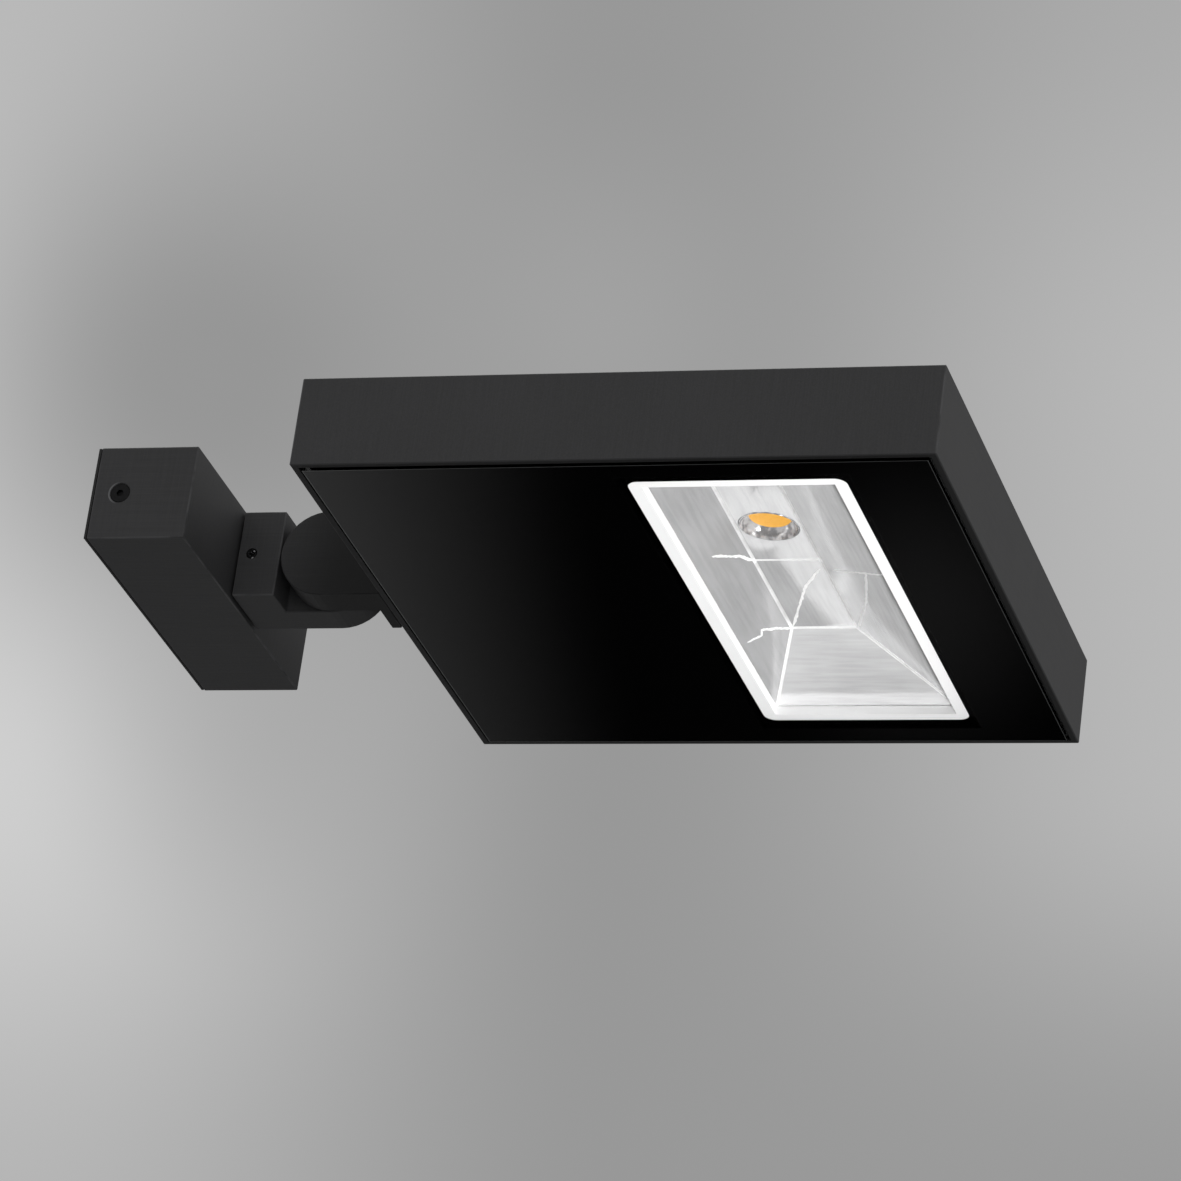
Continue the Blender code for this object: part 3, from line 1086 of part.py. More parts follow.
def build_leads(parent):
    start = Vector((-CABLE_WAY_X, -HEAD_OUT - HEAD_WALL, 0))
    driver_face = -DRIVER_OUT + DRIVER_WIDTH / 2 + FIT
    end = Vector((-CABLE_WAY_X, driver_face, BACK_INNER - DRIVER_HEIGHT / 2))
    span = (start - end).length
    straight = Vector((0, -FIT - GLAND_COLLAR_THICKNESS, 0))
    sag = Vector((0, 0, -SUPPLY_LEAD_SAG))
    first = [start, start + straight]
    ahead = Vector((0, -span, 0))
    middle = hermite(first[1], ahead + sag, end, ahead - sag, SUPPLY_LEAD_STEPS)
    build_lead("supply_lead", first + middle[1:], SUPPLY_LEAD_RADIUS, parent, "black_rubber")
    outer_face = -DRIVER_OUT - DRIVER_WIDTH / 2 - FIT
    level = (HOLDER_BOTTOM + HOLDER_TOP) / 2
    for finish, name, side in (("red_sheath", "red", -1), ("black_rubber", "black", 1)):
        x = LED_X + side * LED_LEAD_SPACING / 2
        bow = HOLDER_RADIUS - math.sqrt(HOLDER_RADIUS ** 2 - (LED_LEAD_SPACING / 2 - LED_LEAD_RADIUS) ** 2)
        low = Vector((x, outer_face, level))
        high = Vector((x, -LED_OUT + HOLDER_RADIUS + FIT - bow + FIT, level))
        pull = Vector((0, high.y - low.y, LED_LEAD_RISE))
        drop = Vector((0, high.y - low.y, -LED_LEAD_RISE))
        points = hermite(low, pull, high, drop, LED_LEAD_STEPS)
        build_lead("led_lead_" + name, points, LED_LEAD_RADIUS, parent, finish)


def main():
    for old in list(bpy.data.objects):
        bpy.data.objects.remove(old, do_unlink=True)
    wall_mount = axis_empty("wall_mount", ORIGIN, None)
    swivel = axis_empty("swivel", SWIVEL_POINT, wall_mount)
    head = axis_empty("head", PIVOT_POINT, swivel)
    build_mounting_plate(wall_mount)
    build_wall_gasket(wall_mount)
    build_wall_box(wall_mount)
    build_side_screws(wall_mount)
    build_cable_grommet(wall_mount)
    build_terminal_block(wall_mount)
    build_earth_screw(wall_mount)
    build_spigot(wall_mount)
    build_swivel_fixings(wall_mount)
    build_knuckle_base(swivel)
    build_grub_screw(swivel)
    build_friction_ring(swivel)
    build_knuckle_head(head)
    build_pivot_bolt(head)
    build_head_housing(head)
    build_neck(head)
    build_glass(head)
    build_bezel(head)
    build_reflector(head)
    build_led(head)
    build_driver(head)
    build_leads(head)


main()
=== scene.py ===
import json
import math
import random
import bpy
import bmesh
from mathutils import Matrix, Vector


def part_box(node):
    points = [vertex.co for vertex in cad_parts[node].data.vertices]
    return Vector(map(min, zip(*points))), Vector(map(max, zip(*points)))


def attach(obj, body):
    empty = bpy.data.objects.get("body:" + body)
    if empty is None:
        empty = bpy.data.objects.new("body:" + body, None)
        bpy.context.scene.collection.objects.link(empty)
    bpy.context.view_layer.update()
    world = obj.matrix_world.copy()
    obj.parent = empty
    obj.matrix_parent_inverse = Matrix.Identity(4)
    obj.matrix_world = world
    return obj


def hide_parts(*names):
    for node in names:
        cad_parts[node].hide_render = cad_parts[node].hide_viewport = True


# Wall floodlight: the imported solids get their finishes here, and the parts that show most get finer shapes
print("loading the packed light")
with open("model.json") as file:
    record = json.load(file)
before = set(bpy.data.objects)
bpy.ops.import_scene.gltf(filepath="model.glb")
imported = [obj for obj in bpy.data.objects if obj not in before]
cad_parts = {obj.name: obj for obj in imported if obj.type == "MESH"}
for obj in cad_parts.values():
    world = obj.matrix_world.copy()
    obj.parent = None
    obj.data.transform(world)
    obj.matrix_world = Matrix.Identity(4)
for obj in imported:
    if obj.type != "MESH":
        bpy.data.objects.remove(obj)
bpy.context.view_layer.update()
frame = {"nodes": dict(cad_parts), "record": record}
nodes = frame["nodes"]


class Value:
    # one output of a node, which takes part in plain arithmetic
    def __init__(self, graph, socket):
        self.graph = graph
        self.socket = socket

    def join(self, operation, first, second):
        return self.graph.add("ShaderNodeMath", {"operation": operation}, {0: first, 1: second})

    def __add__(self, other):
        return self.join("ADD", self, other)

    def __radd__(self, other):
        return self.join("ADD", other, self)

    def __sub__(self, other):
        return self.join("SUBTRACT", self, other)

    def __rsub__(self, other):
        return self.join("SUBTRACT", other, self)

    def __mul__(self, other):
        return self.join("MULTIPLY", self, other)

    def __rmul__(self, other):
        return self.join("MULTIPLY", other, self)


class Graph:
    # one material or world, and the one method that adds nodes to it
    def __init__(self, owner, shader="Principled BSDF", place="Object"):
        owner.use_nodes = True
        self.owner = owner
        self.tree = owner.node_tree
        self.shader = self.tree.nodes[shader]
        self.place = self.add("ShaderNodeTexCoord", out=place)

    def add(self, kind, settings=None, values=None, out=0):
        node = self.tree.nodes.new(kind)
        for key, setting in (settings or {}).items():
            setattr(node, key, setting)
        for key, value in (values or {}).items():
            self.feed(node.inputs[key], value)
        return Value(self, node.outputs[out])

    def feed(self, socket, value):
        if isinstance(value, Value):
            self.tree.links.new(value.socket, socket)
        else:
            socket.default_value = value

    def finish(self, **sockets):  # feeds the shader, with spaces written as underscores
        for key, value in sockets.items():
            self.feed(self.shader.inputs[key.replace("_", " ")], value)
        return self.owner

    def stretch(self, scale):  # the place on the piece, with each axis at its own scale
        return self.add("ShaderNodeVectorMath", {"operation": "MULTIPLY"}, {0: self.place, 1: scale})

    def noise(self, scale=1.0, detail=2.0, stretch=None):
        place = self.stretch(stretch) if stretch else self.place
        return self.add("ShaderNodeTexNoise", {}, {"Vector": place, "Scale": scale, "Detail": detail})

    def patches(self, scale=1.0, detail=2.0, stretch=None, low=0.0, high=1.0):  # noise, eased from 0 to 1
        return self.step(self.noise(scale, detail, stretch), low, high)

    def cells(self, scale):
        return self.add("ShaderNodeTexVoronoi", {"feature": "F1"}, {"Vector": self.place, "Scale": scale})

    def step(self, value, low, high):  # eases from 0 at low to 1 at high
        limits = {"Value": value, "From Min": low, "From Max": high}
        return self.add("ShaderNodeMapRange", {"interpolation_type": "SMOOTHSTEP"}, limits)

    def mix(self, factor, first, second):  # a colour mix has its colours at 6 and 7 and its result at 2
        sockets = {"Factor": factor, 6: colour(first), 7: colour(second)}
        return self.add("ShaderNodeMix", {"data_type": "RGBA"}, sockets, out=2)

    def bump(self, height, distance, strength=1.0, normal=None):
        sockets = {"Height": height, "Distance": distance, "Strength": strength}
        if normal:
            sockets["Normal"] = normal
        return self.add("ShaderNodeBump", {}, sockets)

    def distance(self, first, second):
        return self.add("ShaderNodeVectorMath", {"operation": "DISTANCE"}, {0: first, 1: second}, out="Value")

    def towards(self, direction):  # how far the place lies in a direction
        sockets = {0: self.place, 1: direction}
        return self.add("ShaderNodeVectorMath", {"operation": "DOT_PRODUCT"}, sockets, out="Value")

    def axis(self, letter):
        return self.add("ShaderNodeSeparateXYZ", {}, {0: self.place}, out=letter)

    def most(self, first, second):
        return self.add("ShaderNodeMath", {"operation": "MAXIMUM"}, {0: first, 1: second})

    def apart(self, letter, place):  # the distance from a place along one axis
        return self.add("ShaderNodeMath", {"operation": "ABSOLUTE"}, {0: self.axis(letter) - place})

    def edge(self, low, high, width, pairs):  # 1 where the named pairs of a box's faces meet, 0 elsewhere
        sides = {}
        inside = 1.0
        for letter, start, end in zip("XYZ", low, high):
            half = (end - start) / 2
            far = self.apart(letter, (start + end) / 2)
            sides[letter] = self.step(far, half - width, half - width / 4)
            inside = (1 - self.step(far, half + width / 4, half + width / 2)) * inside
        edges = 0.0
        for first, second in pairs:
            edges = self.most(sides[first] * sides[second], edges)
        return edges * inside


def colour(value):
    return value if isinstance(value, Value) else (*value, 1.0)


def finishGraph(name):
    return Graph(bpy.data.materials.new(name))


def dress(name, material):
    piece = nodes[name]
    piece.data.materials.clear()
    piece.data.materials.append(material)


sharpAngle = 38.0  # degrees between two faces from which their edge stays sharp


def makePiece(name, bm, materials, body, smooth=True):
    mesh = bpy.data.meshes.new(name)
    bmesh.ops.recalc_face_normals(bm, faces=bm.faces)
    bm.to_mesh(mesh)
    bm.free()
    for material in materials:
        mesh.materials.append(material)
    if smooth:
        mesh.shade_smooth()
        mesh.set_sharp_from_angle(angle=math.radians(sharpAngle))
    piece = bpy.data.objects.new(name, mesh)
    bpy.context.scene.collection.objects.link(piece)
    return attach(piece, body)


print("finishes")

# Fine matt powder coat on the castings and extrusions. In each look a pattern of patches is a noise, with the
# levels between which it eases from 0 to 1, and a stretch squeezes it so that it runs along one axis
coatLook = {
    "dark": (0.040, 0.040, 0.041), "light": (0.056, 0.056, 0.058),
    "cloud": {"scale": 14.0, "detail": 3.0, "low": 0.35, "high": 0.65},
    "cloudShare": 0.30, "cloudRough": 0.05,
    "lines": {"detail": 3.0, "low": 0.30, "high": 0.70}, "lineShare": 0.38, "lineBump": 0.25,
    "along": {"X": (30.0, 1500.0, 1500.0), "Y": (1500.0, 30.0, 1500.0)},
    "cross": {"stretch": (1500.0, 1500.0, 30.0), "low": 0.30, "high": 0.70}, "crossShare": 0.30,
    "grainScale": 2300.0, "grainDetail": 3.0, "grainDepth": 0.00005, "grainBump": 0.8, "grainRough": 0.10,
    "peelScale": 420.0, "peelDepth": 0.00003, "peelBump": 0.6,
    "speckScale": 520.0, "speckFrom": 0.06, "speckTo": 0.16, "speckShare": 0.18,
    "edgeTone": (0.105, 0.105, 0.108), "edgeWidth": 0.0009, "edgeShare": 0.75, "edgeSmooth": 0.12,
    "edgeWearAndHighlight": {"scale": 90.0, "low": 0.30, "high": 0.60}, "edgePairs": ("XY", "YZ", "ZX"),
    "seatHighlightTone": (0.16, 0.16, 0.165), "seatWidth": 0.0004,
    "shadeTone": (0.0, 0.0, 0.0), "shadeFrom": 0.058, "shadeTo": 0.108,
    "lipShadeTone": (0.017, 0.017, 0.0175), "lipDepth": 0.005, "lipFade": 0.002, "lipEdge": 0.0008,
    "roughness": 0.50, "specular": 0.30,
}

# The axis of each coated piece's brush lines, and what it has beside them: the pairs of axes and the box of
# its lighter edges, worn and with a painted highlight, the centre and radius of a screw's seat with its
# painted highlight, how dark the painted shade makes its head side, the glass's lip with its painted shade
coatedPieces = {
    "wall_box": {"along": "Y", "seats": [((0.0, -0.0143, 0.0), 0.0052)]},
    "knuckle_base": {"along": "Y", "pairs": ("XY", "ZX"),  # its box is the block alone, without the cheek
                     "box": ((-0.0185, -0.072, -0.022), (0.0185, -0.051, 0.022))},
    "knuckle_head": {"along": "Y", "shade": 0.12},
    "head_housing": {"along": "X", "pairs": ("XY",), "lip": True},
}


def paintedSeatHighlight(g, centre, radius):  # painted highlight: a light crescent on the wall side of a screw's seat in an end face
    width = coatLook["seatWidth"]
    apart = g.distance(g.stretch((0.0, 1.0, 1.0)), centre)
    band = g.step(apart, radius - width, radius) * (1 - g.step(apart, radius + width, radius + 2 * width))
    return band * g.step(g.axis("Y"), centre[1], centre[1] + radius)


def paintedHeadShade(g, shade):  # painted shade: 1 at the wall side of the piece, then down to shade at its head side, where the head shades it
    return 1 - g.step(0 - g.axis("Y"), coatLook["shadeFrom"], coatLook["shadeTo"]) * (1 - shade)


def paintedLipShade(g, low, high):  # painted shade: 1 on the narrow face round the glass and on the lip's inner wall
    edge, depth = coatLook["lipEdge"], low.z + coatLook["lipDepth"]
    middle, half = (low + high) / 2, (high - low) / 2
    out = g.most(g.apart("X", middle.x) - half.x, g.apart("Y", middle.y) - half.y)
    deep = g.step(g.axis("Z"), depth, depth + coatLook["lipFade"])
    return (1 - g.step(out, -edge, -edge / 2)) * (1 - deep)


def powderCoat(nodeName, marks):
    look = coatLook
    g = finishGraph("coat_" + nodeName)
    cloud = g.patches(**look["cloud"])
    lines = g.patches(**look["lines"], stretch=look["along"][marks["along"]])
    cross = g.patches(**look["cross"])
    grain = g.noise(look["grainScale"], look["grainDetail"])
    speck = 1 - g.step(g.cells(look["speckScale"]), look["speckFrom"], look["speckTo"])
    tones = cloud * look["cloudShare"] + lines * look["lineShare"] + cross * look["crossShare"]
    base = g.mix(tones, look["dark"], look["light"])
    base = g.mix(speck * look["speckShare"], base, look["edgeTone"])
    low, high = marks.get("box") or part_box(nodeName)
    # lighter edges: partly worn coat, partly a painted highlight where the edges catch the light
    edge = g.edge(low, high, look["edgeWidth"], marks.get("pairs", look["edgePairs"]))
    wearAndHighlight = edge * g.patches(**look["edgeWearAndHighlight"])
    base = g.mix(wearAndHighlight * look["edgeShare"], base, look["edgeTone"])
    # painted highlight on the lit side of each screw's seat
    for centre, radius in marks.get("seats", ()):
        base = g.mix(paintedSeatHighlight(g, centre, radius), base, look["seatHighlightTone"])
    # painted shade, darker towards the head
    if "shade" in marks:
        base = g.mix(paintedHeadShade(g, marks["shade"]), look["shadeTone"], base)
    # painted shade on the lip round the glass
    if "lip" in marks:
        base = g.mix(paintedLipShade(g, low, high), base, look["lipShadeTone"])
    rough = look["roughness"] + cloud * look["cloudRough"] + grain * look["grainRough"]
    rough = rough - wearAndHighlight * look["edgeSmooth"]
    peel = g.bump(g.noise(look["peelScale"]), look["peelDepth"], look["peelBump"])
    brushed = g.bump(lines, look["grainDepth"], look["lineBump"], peel)
    normal = g.bump(grain, look["grainDepth"], look["grainBump"], brushed)
    g.shader.inputs["Specular IOR Level"].default_value = look["specular"]
    return g.finish(Base_Color=base, Roughness=rough, Normal=normal, Metallic=0.0)


for nodeName, marks in coatedPieces.items():
    dress(nodeName, powderCoat(nodeName, marks))

# Metals of the fasteners and inner parts: two tones, roughness, fine marks, and on one steel painted glints
metalLooks = {
    "zinc_plated_steel": {"dark": (0.42, 0.43, 0.45), "light": (0.62, 0.63, 0.62), "rough": 0.30,
                          "metal": 1.0, "scale": 320.0},
    "black_steel": {"dark": (0.003, 0.003, 0.003), "light": (0.009, 0.009, 0.010), "rough": 0.42,
                    "metal": 0.0, "scale": 700.0, "specular": 0.18},
    "steel_with_painted_glints": {"dark": (0.003, 0.003, 0.003), "light": (0.010, 0.010, 0.011), "rough": 0.36,
                       "metal": 0.0, "scale": 700.0, "specular": 0.25,
                       "glintScale": 620.0, "glintTone": (0.60, 0.60, 0.62)},
    "brass": {"dark": (0.62, 0.43, 0.17), "light": (0.80, 0.62, 0.31), "rough": 0.28,
              "metal": 1.0, "scale": 500.0},
    "bare_aluminium": {"dark": (0.62, 0.63, 0.64), "light": (0.80, 0.81, 0.82), "rough": 0.33,
                       "metal": 1.0, "scale": 260.0},
}
metalMarks = {  # what all these metals share
    "mottle": {"detail": 4.0, "low": 0.32, "high": 0.68}, "mottleShare": 0.7, "mottleRough": 0.08,
    "mottleBump": 0.30, "lines": (180.0, 5200.0, 5200.0), "lineShare": 0.3, "lineBump": 0.35,
    "handled": {"scale": 40.0, "low": 0.45, "high": 0.70}, "handledRough": 0.10,
    "glintFrom": 0.24, "glintTo": 0.36, "depth": 0.00002, "specular": 0.5,
}


def machinedMetal(name, look):
    marks = metalMarks
    g = finishGraph(name)
    mottle = g.patches(look["scale"], **marks["mottle"])
    lines = g.noise(stretch=marks["lines"])
    handled = g.patches(**marks["handled"])
    base = g.mix(mottle * marks["mottleShare"] + lines * marks["lineShare"], look["dark"], look["light"])
    # painted highlight: light specks that stand for glints
    if "glintScale" in look:
        paintedGlint = 1 - g.step(g.cells(look["glintScale"]), marks["glintFrom"], marks["glintTo"])
        base = g.mix(paintedGlint, base, look["glintTone"])
    rough = look["rough"] + mottle * marks["mottleRough"] + handled * marks["handledRough"]
    mottled = g.bump(mottle, marks["depth"], marks["mottleBump"])
    normal = g.bump(lines, marks["depth"], marks["lineBump"], mottled)
    g.shader.inputs["Specular IOR Level"].default_value = look.get("specular", marks["specular"])
    return g.finish(Base_Color=base, Roughness=rough, Normal=normal, Metallic=look["metal"])


# Rubbers, plastics and sheaths: two tones, roughness, skin
softLooks = {
    "black_rubber": {"dark": (0.010, 0.010, 0.010), "light": (0.026, 0.026, 0.026), "rough": 0.72,
                     "scale": 900.0, "skin": 0.00005},
    "friction_material": {"dark": (0.030, 0.027, 0.024), "light": (0.075, 0.068, 0.060), "rough": 0.82,
                          "scale": 1900.0, "skin": 0.00008},
    "grey_silicone": {"dark": (0.24, 0.25, 0.26), "light": (0.34, 0.34, 0.35), "rough": 0.66,
                      "scale": 1300.0, "skin": 0.00004},
    "driver_case": {"dark": (0.70, 0.70, 0.68), "light": (0.80, 0.80, 0.78), "rough": 0.48,
                    "scale": 1500.0, "skin": 0.00004},
    "white_plastic": {"dark": (0.90, 0.90, 0.90), "light": (0.96, 0.96, 0.96), "rough": 0.42,
                      "scale": 1700.0, "skin": 0.00003},
    "coated_board": {"dark": (0.78, 0.77, 0.72), "light": (0.87, 0.86, 0.82), "rough": 0.38,
                     "scale": 1100.0, "skin": 0.00002},
    "cable_sheath": {"dark": (0.011, 0.011, 0.012), "light": (0.028, 0.028, 0.029), "rough": 0.52,
                     "scale": 800.0, "skin": 0.00004},
    "red_sheath": {"dark": (0.34, 0.012, 0.012), "light": (0.50, 0.028, 0.022), "rough": 0.46,
                   "scale": 800.0, "skin": 0.00003},
}
skinMarks = {  # what all these skins share
    "cloud": {"scale": 22.0, "low": 0.35, "high": 0.65}, "cloudShare": 0.5,
    "skinDetail": 3.0, "skinShare": 0.5, "skinRough": 0.06, "skinBump": 0.5,
    "dust": {"scale": 120.0, "detail": 4.0, "low": 0.52, "high": 0.74}, "dustRough": 0.10,
}


def mouldedSkin(name, look):
    marks = skinMarks
    g = finishGraph(name)
    cloud = g.patches(**marks["cloud"])
    skin = g.noise(look["scale"], marks["skinDetail"])
    dust = g.patches(**marks["dust"])
    base = g.mix(cloud * marks["cloudShare"] + skin * marks["skinShare"], look["dark"], look["light"])
    rough = look["rough"] + dust * marks["dustRough"] + skin * marks["skinRough"]
    return g.finish(Base_Color=base, Roughness=rough, Normal=g.bump(skin, look["skin"], marks["skinBump"]))


slotMaterials = {slot: machinedMetal(slot, look) for slot, look in metalLooks.items()}
slotMaterials.update({slot: mouldedSkin(slot, look) for slot, look in softLooks.items()})

# Orange-yellow phosphor with the dies faintly showing through
phosphorLook = {
    "deep": (0.74, 0.35, 0.040), "pale": (0.84, 0.44, 0.080), "rough": 0.42,
    "grainScale": 1500.0, "grainDetail": 3.0, "grainShare": 0.55, "grainRough": 0.20, "grainDepth": 0.00004,
    "grainBump": 0.5, "dieScale": 720.0, "dieFrom": 0.10, "dieTo": 0.55, "dieShare": 0.35,
}


def phosphorSkin():
    look = phosphorLook
    g = finishGraph("phosphor")
    grain = g.noise(look["grainScale"], look["grainDetail"])
    dies = g.step(g.cells(look["dieScale"]), look["dieFrom"], look["dieTo"])
    base = g.mix(grain * look["grainShare"] + dies * look["dieShare"], look["deep"], look["pale"])
    rough = look["rough"] + grain * look["grainRough"]
    normal = g.bump(grain, look["grainDepth"], look["grainBump"])
    return g.finish(Base_Color=base, Roughness=rough, Normal=normal)


# Bright anodised reflector sheet: rolling streaks along one axis
sheetLook = {
    "dark": (0.71, 0.71, 0.715), "light": (0.93, 0.93, 0.935), "metal": 0.50,
    "lines": {"detail": 4.0, "low": 0.36, "high": 0.62}, "lineShare": 0.36, "lineRough": 0.02,
    "bands": {"detail": 3.0, "low": 0.34, "high": 0.66}, "bandShare": 0.30, "bandWidth": 7,
    "haze": {"scale": 30.0, "detail": 4.0, "low": 0.36, "high": 0.66}, "hazeShare": 0.34, "hazeRough": 0.03,
    "streakDepth": 0.000012, "streakBump": 0.30,
}
sheets = {  # each sheet's stretch, its least roughness and its tone, which is painted shade on the wall side and painted light on the ends
    "bright_aluminium": ((40.0, 700.0, 700.0), 0.045, 1.0),
    "reflector_room_side": ((30.0, 560.0, 560.0), 0.13, 1.0),
    "reflector_end": ((620.0, 40.0, 620.0), 0.11, 1.08),
    "reflector_wall_side": ((30.0, 560.0, 560.0), 0.10, 0.70),
}


def reflectorSheet(name):
    look = sheetLook
    streaks, sheen, tone = sheets[name]
    g = finishGraph(name)
    lines = g.patches(**look["lines"], stretch=streaks)
    bands = g.patches(**look["bands"], stretch=tuple(s / look["bandWidth"] for s in streaks))
    haze = g.patches(**look["haze"])
    # the tone scales the facet's colours: painted shade where below 1, painted light where above 1
    dark, light = (tuple(c * tone for c in look[key]) for key in ("dark", "light"))
    tones = lines * look["lineShare"] + bands * look["bandShare"] + haze * look["hazeShare"]
    base = g.mix(tones, dark, light)
    rough = sheen + lines * look["lineRough"] + haze * look["hazeRough"]
    normal = g.bump(lines, look["streakDepth"], look["streakBump"])
    return g.finish(Base_Color=base, Roughness=rough, Normal=normal, Metallic=look["metal"])


# The folds, where the anodised skin has crazed white and the white is also a painted highlight on the bends,
# and the painted reflections of the folds
foldLook = {
    "dark": (0.82, 0.82, 0.82), "light": (0.95, 0.95, 0.95), "rough": 0.38, "metal": 0.15,
    "crazedScale": 2400.0, "crazedDetail": 3.0, "crazedShare": 0.5, "crazedRough": 0.15,
    "crazedDepth": 0.00003, "crazedBump": 0.4,
    "wearAndHighlight": {"scale": 140.0, "low": 0.35, "high": 0.60}, "wearAndHighlightShare": 0.5,
    "plain": (0.62, 0.62, 0.62), "plainUntil": 0.070, "plainFade": 0.009, "plainLeast": 0.55,
    "creaseAt": 0.0100, "creaseReach": 0.003,
}


def foldSkin(name, partlyPlain=False):
    look = foldLook
    g = finishGraph(name)
    crazed = g.noise(look["crazedScale"], look["crazedDetail"])
    wearAndHighlight = g.patches(**look["wearAndHighlight"])
    base = g.mix(crazed * look["crazedShare"] + wearAndHighlight * look["wearAndHighlightShare"], look["dark"], look["light"])
    if partlyPlain:  # the folds are hardly crazed and carry no painted highlight, except at the roof's crease and towards the far end
        until, reach, least = look["plainUntil"], look["creaseReach"], look["plainLeast"]
        near = 1 - g.step(g.axis("X"), until, until + look["plainFade"])
        plain = near * g.step(g.apart("X", look["creaseAt"]), reach / 2, reach)
        base = g.mix(plain * (least + wearAndHighlight * (1 - least)), base, look["plain"])
    rough = look["rough"] + crazed * look["crazedRough"]
    normal = g.bump(crazed, look["crazedDepth"], look["crazedBump"])
    return g.finish(Base_Color=base, Roughness=rough, Normal=normal, Metallic=look["metal"])


# The ring round the light source: polished, in brighter and darker patches
ringLook = {
    "dark": (0.42, 0.42, 0.43), "light": (0.95, 0.95, 0.96), "rough": 0.05, "metal": 0.72,
    "wipe": {"scale": 240.0, "detail": 3.0, "low": 0.40, "high": 0.60},
    "wipeRough": 0.07, "wipeDepth": 0.00002, "wipeBump": 0.3,
}


def polishedRing():
    look = ringLook
    g = finishGraph("chrome_ring")
    wipe = g.patches(**look["wipe"])
    rough = look["rough"] + wipe * look["wipeRough"]
    normal = g.bump(wipe, look["wipeDepth"], look["wipeBump"])
    return g.finish(Base_Color=g.mix(wipe, look["dark"], look["light"]), Roughness=rough, Normal=normal,
                    Metallic=look["metal"])


# The clear window in the black print
windowLook = {
    "centre": (0.0022, -0.326), "size": (0.2515, 0.1015), "corner": 0.0056, "steps": 10,
    "outerCorner": 0.0006, "inset": 0.0100, "gap": 0.00006, "thickness": 0.00012,
}

# Black enamel print behind the pane, and the smeared gloss that it shares with the pane
printLook = {
    "tone": (0.0006, 0.0006, 0.0007), "lift": (0.0016, 0.0016, 0.0018), "specular": 0.50,
    "pinholes": {"scale": 1900.0, "low": 0.60, "high": 0.80},
    "smear": {"scale": 7.0, "detail": 3.0, "low": 0.35, "high": 0.75}, "rough": 0.04, "smearRough": 0.03,
}

# Pane: nearly invisible over the window, and with the look of its black print away from the window
paneLook = {
    "clear": 0.05, "tone": (0.015, 0.015, 0.015),
    "dust": {"scale": 700.0, "detail": 3.0, "low": 0.66, "high": 0.80}, "dustTone": (0.10, 0.10, 0.10),
    "dustClear": 0.02, "rimWidth": 0.0005, "edgeHighlightTone": (0.13, 0.135, 0.135), "seamWidth": 0.0009,
    "seamClear": 0.03, "clearLow": (-0.1325, -0.3805), "clearHigh": (0.1300, -0.2740), "clearFade": 0.0015,
}


def smearedGloss(g):
    return printLook["rough"] + g.patches(**printLook["smear"]) * printLook["smearRough"]


def clearPane():
    look = paneLook
    g = finishGraph("printed_glass")
    low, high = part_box("cover_glass")
    rim = seam = 0.0  # the pane's edge shows as a light line, a painted highlight, and outside that as a dark seam
    for letter, start, end in zip("XY", low, high):
        far = g.apart(letter, (start + end) / 2)
        seamFrom = (end - start) / 2 - look["seamWidth"]
        rimFrom = seamFrom - look["rimWidth"]
        rim = g.most(g.step(far, rimFrom, rimFrom + look["rimWidth"] / 2), rim)
        seam = g.most(g.step(far, seamFrom, seamFrom + look["rimWidth"] / 4), seam)
    dust = g.patches(**look["dust"])
    (x0, y0), (x1, y1) = look["clearLow"], look["clearHigh"]
    outside = g.most(g.apart("X", (x0 + x1) / 2) - (x1 - x0) / 2, g.apart("Y", (y0 + y1) / 2) - (y1 - y0) / 2)
    solid = g.step(outside, 0.0, look["clearFade"])
    tone = g.mix(solid, g.mix(dust, look["tone"], look["dustTone"]), printLook["lift"])
    # painted highlight along the pane's edge
    base = g.mix(rim * (1 - seam), tone, look["edgeHighlightTone"])
    seen = g.most(look["clear"] + dust * look["dustClear"], solid)
    alpha = seen * (1 - seam * (1 - look["seamClear"]))
    return g.finish(Base_Color=base, Alpha=alpha, Roughness=smearedGloss(g))


def enamelPrint():
    g = finishGraph("black_print")
    base = g.mix(g.patches(**printLook["pinholes"]), printLook["tone"], printLook["lift"])
    g.shader.inputs["Specular IOR Level"].default_value = printLook["specular"]
    return g.finish(Base_Color=base, Roughness=smearedGloss(g))


slotMaterials["phosphor"] = phosphorSkin()
slotMaterials["chrome_ring"] = polishedRing()
slotMaterials["printed_glass"] = clearPane()
slotMaterials["bright_aluminium"] = reflectorSheet("bright_aluminium")
for part in frame["record"]["subparts"]:
    if part["node"] not in coatedPieces:
        dress(part["node"], slotMaterials[part["material_slot"]])
dress("grub_screw", slotMaterials["steel_with_painted_glints"])


print("black print on the glass")


def roundedRectangle(centre, size, corner, steps):
    points = []
    for quarter, (sx, sy) in enumerate(((1, 1), (-1, 1), (-1, -1), (1, -1))):
        cx = centre[0] + sx * (size[0] / 2 - corner)
        cy = centre[1] + sy * (size[1] / 2 - corner)
        for i in range(steps + 1):
            angle = math.pi / 2 * (quarter + i / steps)
            points.append((cx + corner * math.cos(angle), cy + corner * math.sin(angle)))
    return points


